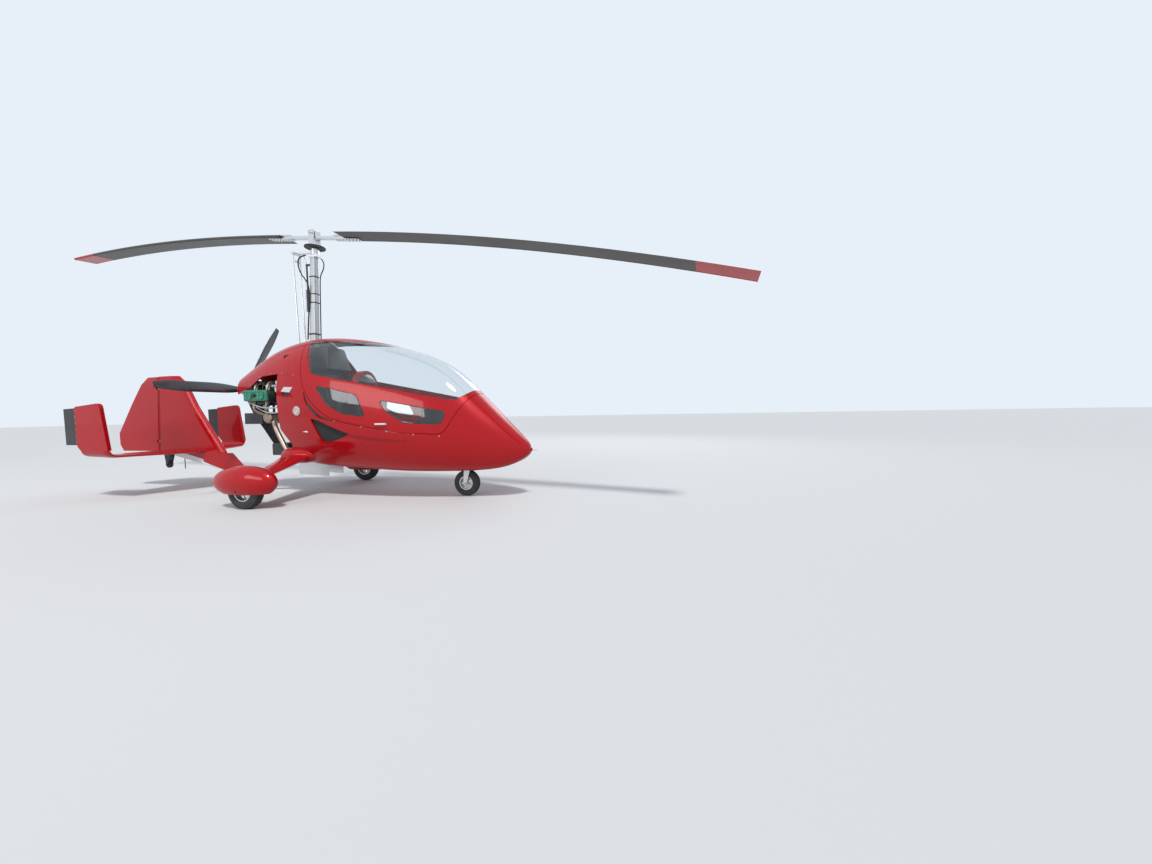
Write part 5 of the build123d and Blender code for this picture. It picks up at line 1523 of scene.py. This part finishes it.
for name, points, radius, finish in hoses:
    held_line(name, points, radius, finish, "airframe", sides=12)

# Oil tank: a spun alloy can strapped to the firewall, with a screw cap.
bpy.ops.object.select_all(action="DESELECT")
bpy.ops.mesh.primitive_cylinder_add(vertices=64, radius=0.056, depth=0.200, location=(-0.292, 0.035, 0.835))
tank = applied()
tank.name = "oil_tank"
soften(tank, 40, 0.010)
painted(tank, cast_alloy)
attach(tank, "airframe")
bpy.ops.mesh.primitive_cylinder_add(vertices=10, radius=0.021, depth=0.020, location=(-0.292, 0.035, 0.944))
tank_cap = applied()
tank_cap.name = "oil_tank_cap"
soften(tank_cap, 35, 0.002)
painted(tank_cap, black_rubber)
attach(tank_cap, "airframe")
straps = []
for z in (0.775, 0.890):
    bpy.ops.mesh.primitive_torus_add(major_segments=48, minor_segments=8, major_radius=0.0565, minor_radius=0.004,
                                     location=(-0.292, 0.035, z))
    applied()
    straps.append(bpy.context.object)
    bpy.ops.mesh.primitive_cube_add(size=1, location=(-0.228, 0.035, z), scale=(0.020, 0.060, 0.014))
    applied()
    soften(bpy.context.object, 35, 0.0015)
    straps.append(bpy.context.object)
tank_straps = joined("oil_tank_straps", straps)
painted(tank_straps, bolt_steel)
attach(tank_straps, "airframe")

# Exhaust: thin stainless pipe and silencer, tinted tan and brown by heat.
hot_steel = new_finish("heat_tinted_steel", (0.40, 0.31, 0.24, 1), 0.36, metallic=0.85, dust=0.8, dust_scale=9.0,
                       dust_colour=(0.15, 0.12, 0.11, 1))
rough_where_dusty(hot_steel, 0.28, 0.58)
grained(hot_steel, 90.0, 0.0002)
painted(cad["exhaust"], hot_steel)
held_line("exhaust_tail_pipe", [(-0.470, -0.140, 0.820), (-0.462, -0.143, 0.780), (-0.436, -0.152, 0.706),
                                (-0.372, -0.161, 0.600), (-0.290, -0.172, 0.476)],
          0.024, hot_steel, "airframe", sides=24)
bpy.ops.mesh.primitive_torus_add(major_segments=40, minor_segments=10, major_radius=0.0245, minor_radius=0.0035,
                                 location=(-0.461, -0.1435, 0.776), rotation=(0.1, -0.1, 0))
pipe_clamp = applied()
pipe_clamp.name = "exhaust_clamp"
painted(pipe_clamp, bolt_steel)
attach(pipe_clamp, "airframe")

# Coolers: black cores of thin folded fins between their tanks, above and below.
core_finish = new_finish("core_fins", (0.035, 0.036, 0.038, 1), 0.45, metallic=0.5, dust=0.3, dust_scale=30.0,
                         dust_colour=(0.10, 0.09, 0.08, 1))
grained(core_finish, 500.0, 0.0002)
cores = [
    # name, centre, length, width, depth of the sunk face, its height from the centre
    ("radiator_core", Vector((-0.700, 0.0, 0.812)), 0.205, 0.236, 0.0366, 36),
    ("oil_cooler_core", Vector((-0.436, 0.0, 0.476)), 0.165, 0.171, 0.0384, 28),
]
for name, centre, length, width, face, count in cores:
    fins = []
    for level in (-1, 1):
        for k in range(count):
            fins.append((centre.x, centre.y - width / 2 + width * (k + 0.5) / count,
                         centre.z + level * (face + 0.0065)))
    bpy.ops.object.select_all(action="DESELECT")
    made = []
    for place in fins:
        bpy.ops.mesh.primitive_cube_add(size=1, location=place, scale=(length, 0.0012, 0.0135))
        made.append(bpy.context.object)
    core = joined(name, made)
    applied()
    bpy.ops.object.shade_smooth_by_angle(angle=math.radians(30))
    painted(core, core_finish)
    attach(core, "airframe")
cooler_bodies = [
    # name, node, centre, size
    ("radiator_tanks", "radiator", (-0.700, 0.0, 0.812), (0.230, 0.330, 0.118)),
    ("oil_cooler_tanks", "oil_cooler", (-0.436, 0.0, 0.476), (0.190, 0.240, 0.124)),
]
for name, node, centre, size in cooler_bodies:
    bpy.ops.mesh.primitive_cube_add(size=1, location=centre, scale=size)
    body_piece = applied()
    for level in (-1, 1):
        bpy.ops.mesh.primitive_cube_add(size=1, location=(centre[0], centre[1], centre[2] + level * size[2] / 2),
                                        scale=(size[0] - 0.024, 0.72 * size[1], 0.38 * size[2]))
        combine(body_piece, bpy.context.object, "DIFFERENCE")
    soften(body_piece, 35, 0.006)
    whole = [body_piece]
    if node == "radiator":
        for side in (-1, 1):
            bpy.ops.mesh.primitive_cylinder_add(vertices=32, radius=0.012, depth=0.113,
                                                location=(-0.700, side * 0.080, 0.8965))
            applied()
            soften(bpy.context.object, 35)
            whole.append(bpy.context.object)
    else:
        for x in (-0.510, -0.362):
            bpy.ops.mesh.primitive_cube_add(size=1, location=(x, 0, 0.380), scale=(0.016, 0.040, 0.120))
            applied()
            soften(bpy.context.object, 35, 0.002)
            whole.append(bpy.context.object)
    cooler = joined(name, whole)
    painted(cooler, black_coat)
    mounted(cooler, "airframe", node)
painted(firewall, brushed_alloy)

# Engine mount: four steel tubes from the firewall to the crankcase, each on a bolted foot.
mount_tubes = []
for side in (-1, 1):
    for start, end in (((-0.222, side * 0.150, 1.150), (-0.375, side * 0.096, 1.100)),
                       ((-0.222, side * 0.160, 0.740), (-0.455, side * 0.092, 0.980))):
        middle = Vector(start).lerp(Vector(end), 0.5)
        mount_tubes.append(held_line("tube", [start, tuple(middle), end], 0.013, black_coat, None, sides=20))
        bpy.ops.mesh.primitive_cylinder_add(vertices=40, radius=0.026, depth=0.008,
                                            location=(-0.224, start[1], start[2]), rotation=(0, math.pi / 2, 0))
        applied()
        soften(bpy.context.object, 35, 0.0015)
        mount_tubes.append(bpy.context.object)
mount_piece = joined("engine_mount_tubes", mount_tubes)
painted(mount_piece, black_coat)
mounted(mount_piece, "airframe", "engine_mount")

# Guard plates: a grey sheet each side of the keel, hung below the flat of the belly.
for side, word in ((-1, "starboard"), (1, "port")):
    plate_outline = [(-0.225, 0.440, 0.0), (-0.225, 0.214, 0.020), (0.147, 0.192, 0.020), (0.147, 0.360, 0.0)]
    near, far = sorted((side * 0.098, side * 0.102))
    guard = side_cutter("belly_plate_" + word, plate_outline, y_from=near, y_to=far)
    soften(guard, 35, 0.0008)
    painted(guard, brushed_alloy)
    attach(guard, "airframe")

# Propeller: three black carbon blades, clamped in a machined hub.
carbon = new_finish("carbon_blades", (0.012, 0.012, 0.014, 1), 0.34, coat=0.6, dust=0.18, dust_scale=6.0,
                    dust_colour=(0.07, 0.07, 0.07, 1))
grained(carbon, 520.0, 0.0002)
painted(cad["prop_blades"], carbon)
painted(cad["prop_hub"], cast_alloy)
places = [(-0.9985, 0.043 * math.cos(math.pi / 3 * k + 0.26), 1.140 + 0.043 * math.sin(math.pi / 3 * k + 0.26))
          for k in range(6)]
hub_bolts = bolt_heads("propeller_bolts", places, 0.010, 0.006, (-1, 0, 0))
painted(hub_bolts, bolt_steel)
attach(hub_bolts, "propeller")

# Flank lamps and the fuel cap's ring: a clear lens in a teardrop, and a steel ring.
lens = new_finish("lamp_lens", (0.75, 0.74, 0.70, 1), 0.12, coat=1.0, dust=0.12, dust_scale=30.0)
painted(cad["side_lamps"], lens)
bpy.ops.object.select_all(action="DESELECT")
bpy.ops.mesh.primitive_torus_add(major_segments=64, minor_segments=10, major_radius=0.031, minor_radius=0.0022,
                                 location=(0.063, -0.3905, 0.881), rotation=(math.pi / 2, 0, 0))
cap_ring = applied()
cap_ring.name = "fuel_cap_ring"
painted(cap_ring, bolt_steel)
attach(cap_ring, "airframe")

# Rotor head: machined bright alloy, with a black toothed ring that takes the starter's pinion.
bright_alloy = new_finish("bright_alloy", (0.72, 0.72, 0.73, 1), 0.24, metallic=0.95, dust=0.15, dust_scale=14.0)
grained(bright_alloy, 120.0, 0.00008)
for name in ("rotor_tower", "rotor_gimbal"):
    painted(cad[name], bright_alloy)
bpy.ops.object.select_all(action="DESELECT")
tooth_count = 90
bpy.ops.mesh.primitive_cylinder_add(vertices=4 * tooth_count, radius=0.0945, depth=0.012, location=(0.012, 0, 2.6015))
teeth = applied()
teeth.name = "ring_gear_teeth"
places = np.empty(len(teeth.data.vertices) * 3)
teeth.data.vertices.foreach_get("co", places)
places = places.reshape(-1, 3)
turns = np.round(np.arctan2(places[:, 1], places[:, 0] - 0.012) / (2 * math.pi) * 4 * tooth_count).astype(int) % 4
reach = np.where(turns < 2, 1.045, 1.0)
places[:, 0] = 0.012 + (places[:, 0] - 0.012) * reach
places[:, 1] *= reach
teeth.data.vertices.foreach_set("co", places.ravel())
bpy.ops.mesh.primitive_cylinder_add(vertices=96, radius=0.0850, depth=0.05, location=(0.012, 0, 2.6015))
combine(teeth, bpy.context.object, "DIFFERENCE")
bpy.ops.object.shade_smooth_by_angle(angle=math.radians(30))
painted(teeth, black_coat)
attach(teeth, "rotor_head")
places = [(0.012 + 0.080 * math.cos(math.pi / 6 * (k + 0.5)), 0.080 * math.sin(math.pi / 6 * (k + 0.5)), 2.606)
          for k in range(12)]
gear_bolts = bolt_heads("ring_gear_bolts", places, 0.011, 0.006, (0, 0, 1))
painted(gear_bolts, bolt_steel)
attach(gear_bolts, "rotor_head")

# Hub bar: a forged bar with a strap above and below each blade root, held by rows of bolts.
painted(cad["hub_bar"], bright_alloy)
tilt, turn = math.radians(8.4), math.radians(-7.8)
ahead = Vector((math.cos(tilt) * math.cos(turn), math.cos(tilt) * math.sin(turn), -math.sin(tilt)))
rotor_up = Vector((math.sin(tilt) * math.cos(turn), math.sin(tilt) * math.sin(turn), math.cos(tilt)))
beam = rotor_up.cross(ahead)
teeter = Vector((0.012, 0.0, 2.748))
for level, word in ((1, "upper"), (-1, "lower")):
    places = []
    for side in (-1, 1):
        for reach in (0.325, 0.365, 0.405, 0.470, 0.515, 0.560, 0.605):
            for beside_way in (-1, 1):
                if reach > 0.45 or beside_way > 0:
                    places.append(teeter + ahead * side * reach + rotor_up * (-0.045 + level * 0.021)
                                  + beam * (0.018 * beside_way if reach > 0.45 else 0.0))
    root_bolts = bolt_heads("blade_root_bolts_" + word, places, 0.013, 0.008, rotor_up * level)
    painted(root_bolts, bolt_steel)
    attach(root_bolts, "rotor")
places = [teeter + beam * side * 0.055 for side in (-1, 1)]
nuts = joined("teeter_nuts", [bolt_heads("nut", [places[0]], 0.026, 0.010, beam * -1),
                              bolt_heads("nut", [places[1]], 0.026, 0.010, beam)])
painted(nuts, bolt_steel)
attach(nuts, "rotor_head")

# Rotor blades: bonded alloy, coloured a dark brown-grey that is painted shade, the alloy as seen in shadow.
blade_painted_shade = new_finish("blade_grey_with_painted_shade", (0.060, 0.052, 0.050, 1), 0.42, metallic=0.4, dust=0.35,
                        dust_scale=3.0, dust_colour=(0.15, 0.14, 0.13, 1))
grained(blade_painted_shade, 30.0, 0.0001, stretch=(0.6, 12.0, 12.0))
painted(cad["rotor_blades"], blade_painted_shade)

# Mast fittings: dark clamp bands, the lowest just above the roof, the trim cable looping at the head,
# and the thin control cables that run down behind the mast.
band_rows = [
    # height, band height
    (2.300, 0.012),
    (2.120, 0.010),
    (2.030, 0.012),
    (1.700, 0.016),
]
mast_lean = (-0.046 + 0.102) / (1.640 - 0.452)
bands = []
for z, tall in band_rows:
    share = (z - 0.452) / (2.5 - 0.452)
    length = 0.096 + (0.064 - 0.096) * share
    width = 0.074 + (0.054 - 0.074) * share
    bpy.ops.mesh.primitive_cube_add(size=1, location=(-0.102 + (z - 0.452) * mast_lean, 0, z),
                                    scale=(length + 0.004, width + 0.004, tall))
    applied()
    soften(bpy.context.object, 35, 0.0015)
    bands.append(bpy.context.object)
mast_bands = joined("mast_bands", bands)
painted(mast_bands, black_rubber)
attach(mast_bands, "airframe")
cable_rows = [
    # name, points, radius, finish
    ("head_loop_cable", [(-0.060, -0.048, 2.515), (-0.110, -0.070, 2.500), (-0.140, -0.075, 2.440),
                         (-0.120, -0.068, 2.330), (-0.060, -0.056, 2.250), (-0.045, -0.042, 2.180),
                         (-0.050, -0.036, 2.060),
                         (-0.075, -0.038, 1.850), (-0.090, -0.040, 1.640)], 0.0065, black_rubber),
    ("head_loop_cable_port", [(0.020, 0.046, 2.520), (0.060, 0.060, 2.480), (0.055, 0.058, 2.400),
                              (0.028, 0.040, 2.330), (0.022, 0.034, 2.250), (0.010, 0.036, 1.950),
                              (-0.004, 0.040, 1.640)], 0.0055, black_rubber),
    ("trim_wire", [(-0.100, 0.0, 2.440), (-0.104, 0.004, 2.470), (-0.120, 0.0, 2.500), (-0.128, 0.0, 2.530)],
     0.0030, bright_alloy),
    ("rear_cable_port", [(-0.150, 0.018, 2.555), (-0.150, 0.018, 2.200), (-0.150, 0.018, 1.900),
                         (-0.154, 0.016, 1.620)], 0.0022, bright_alloy),
    ("rear_cable_starboard", [(-0.150, -0.018, 2.555), (-0.150, -0.018, 2.200), (-0.150, -0.018, 1.900),
                              (-0.154, -0.016, 1.620)], 0.0022, bright_alloy),
]
for name, points, radius, finish in cable_rows:
    held_line(name, points, radius, finish, "airframe")
knobs = []
for side in (-1, 1):
    bpy.ops.mesh.primitive_uv_sphere_add(segments=32, ring_count=16, radius=0.0145,
                                         location=(-0.222, side * 0.042, 2.560), scale=(1, 1, 0.85))
    applied()
    bpy.ops.object.shade_smooth()
    knobs.append(bpy.context.object)
rod_ends = joined("control_rod_ends", knobs)
painted(rod_ends, bolt_steel)
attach(rod_ends, "airframe")

# Trim actuator and brace: a slim black cylinder behind the mast, and a white link between the rods.
bpy.ops.mesh.primitive_cylinder_add(vertices=40, radius=0.017, depth=0.230, location=(-0.100, 0, 2.055))
applied()
soften(bpy.context.object, 35, 0.003)
actuator_parts = [bpy.context.object]
bpy.ops.mesh.primitive_cylinder_add(vertices=24, radius=0.0085, depth=0.500, location=(-0.100, 0, 2.190))
applied()
soften(bpy.context.object, 35)
actuator_parts.append(bpy.context.object)
for z in (1.960, 2.430):
    bpy.ops.mesh.primitive_cube_add(size=1, location=(-0.070, 0, z), scale=(0.070, 0.024, 0.016))
    applied()
    soften(bpy.context.object, 35, 0.002)
    actuator_parts.append(bpy.context.object)
actuator = joined("trim_actuator", actuator_parts)
painted(actuator, black_coat)
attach(actuator, "airframe")
bpy.ops.mesh.primitive_cube_add(size=1, location=(-0.221, 0, 2.480), scale=(0.016, 0.092, 0.022))
brace = applied()
brace.name = "control_rod_brace"
soften(brace, 35, 0.004)
painted(brace, white_coat)
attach(brace, "airframe")

# Tail trim: a thin black joint down the rudder's hinge line, and fasteners on the outer fins.
hinge_strip = []
for side in (-1, 1):
    line = [Vector((-2.219 + 0.007 + (z - 0.44) * 0.0626, z)) for z in np.linspace(0.470, 1.270, 40)]
    hinge_strip.append(laid_on("joint", cad["tail_fin"], [p - Vector((0.003, 0)) for p in line],
                               [p + Vector((0.004, 0)) for p in line], side, black_rubber, lift=0.0002,
                               thick=0.0006, across=1))
fin_joint = joined("rudder_gap_seal", hinge_strip)
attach(fin_joint, "airframe")
for side, word in ((-1, "starboard"), (1, "port")):
    places = [(-2.244, side * 0.701, 0.600 + 0.065 * k) for k in range(6)]
    rivets = bolt_heads("fin_panel_fasteners_" + word, places, 0.008, 0.0025, (0, side, 0), sides=12)
    painted(rivets, bolt_steel)
    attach(rivets, "airframe")

# Fasteners: small button heads along the canopy's lower seam and round the cowl's edge.
seam_places = [(0.500, 0.775), (0.800, 0.718), (1.060, 0.672), (1.320, 0.640), (1.560, 0.622)]
canopy_buttons = []
for side in (-1, 1):
    for x, z in seam_places:
        hit, place, normal, _ = hull.ray_cast(Vector((x, side * 1.0, z)), Vector((0, -side, 0)))
        if hit:
            canopy_buttons.append(bolt_heads("button", [place - normal * 0.0008], 0.010, 0.0030, normal, sides=14))
seam_buttons = joined("canopy_seam_buttons", canopy_buttons)
painted(seam_buttons, bolt_steel)
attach(seam_buttons, "airframe")
cowl_places = [(-0.800, 1.100), (-0.640, 1.160), (-0.500, 1.240), (-0.330, 1.272), (-0.160, 1.266), (0.000, 1.240)]
cowl_buttons = []
for side in (-1, 1):
    for x, z in cowl_places:
        hit, place, normal, _ = cowl.ray_cast(Vector((x, side * 1.0, z)), Vector((0, -side, 0)))
        if hit:
            cowl_buttons.append(bolt_heads("button", [place - normal * 0.0008], 0.009, 0.0030, normal, sides=14))
edge_buttons = joined("cowl_edge_buttons", cowl_buttons)
painted(edge_buttons, bolt_steel)
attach(edge_buttons, "airframe")
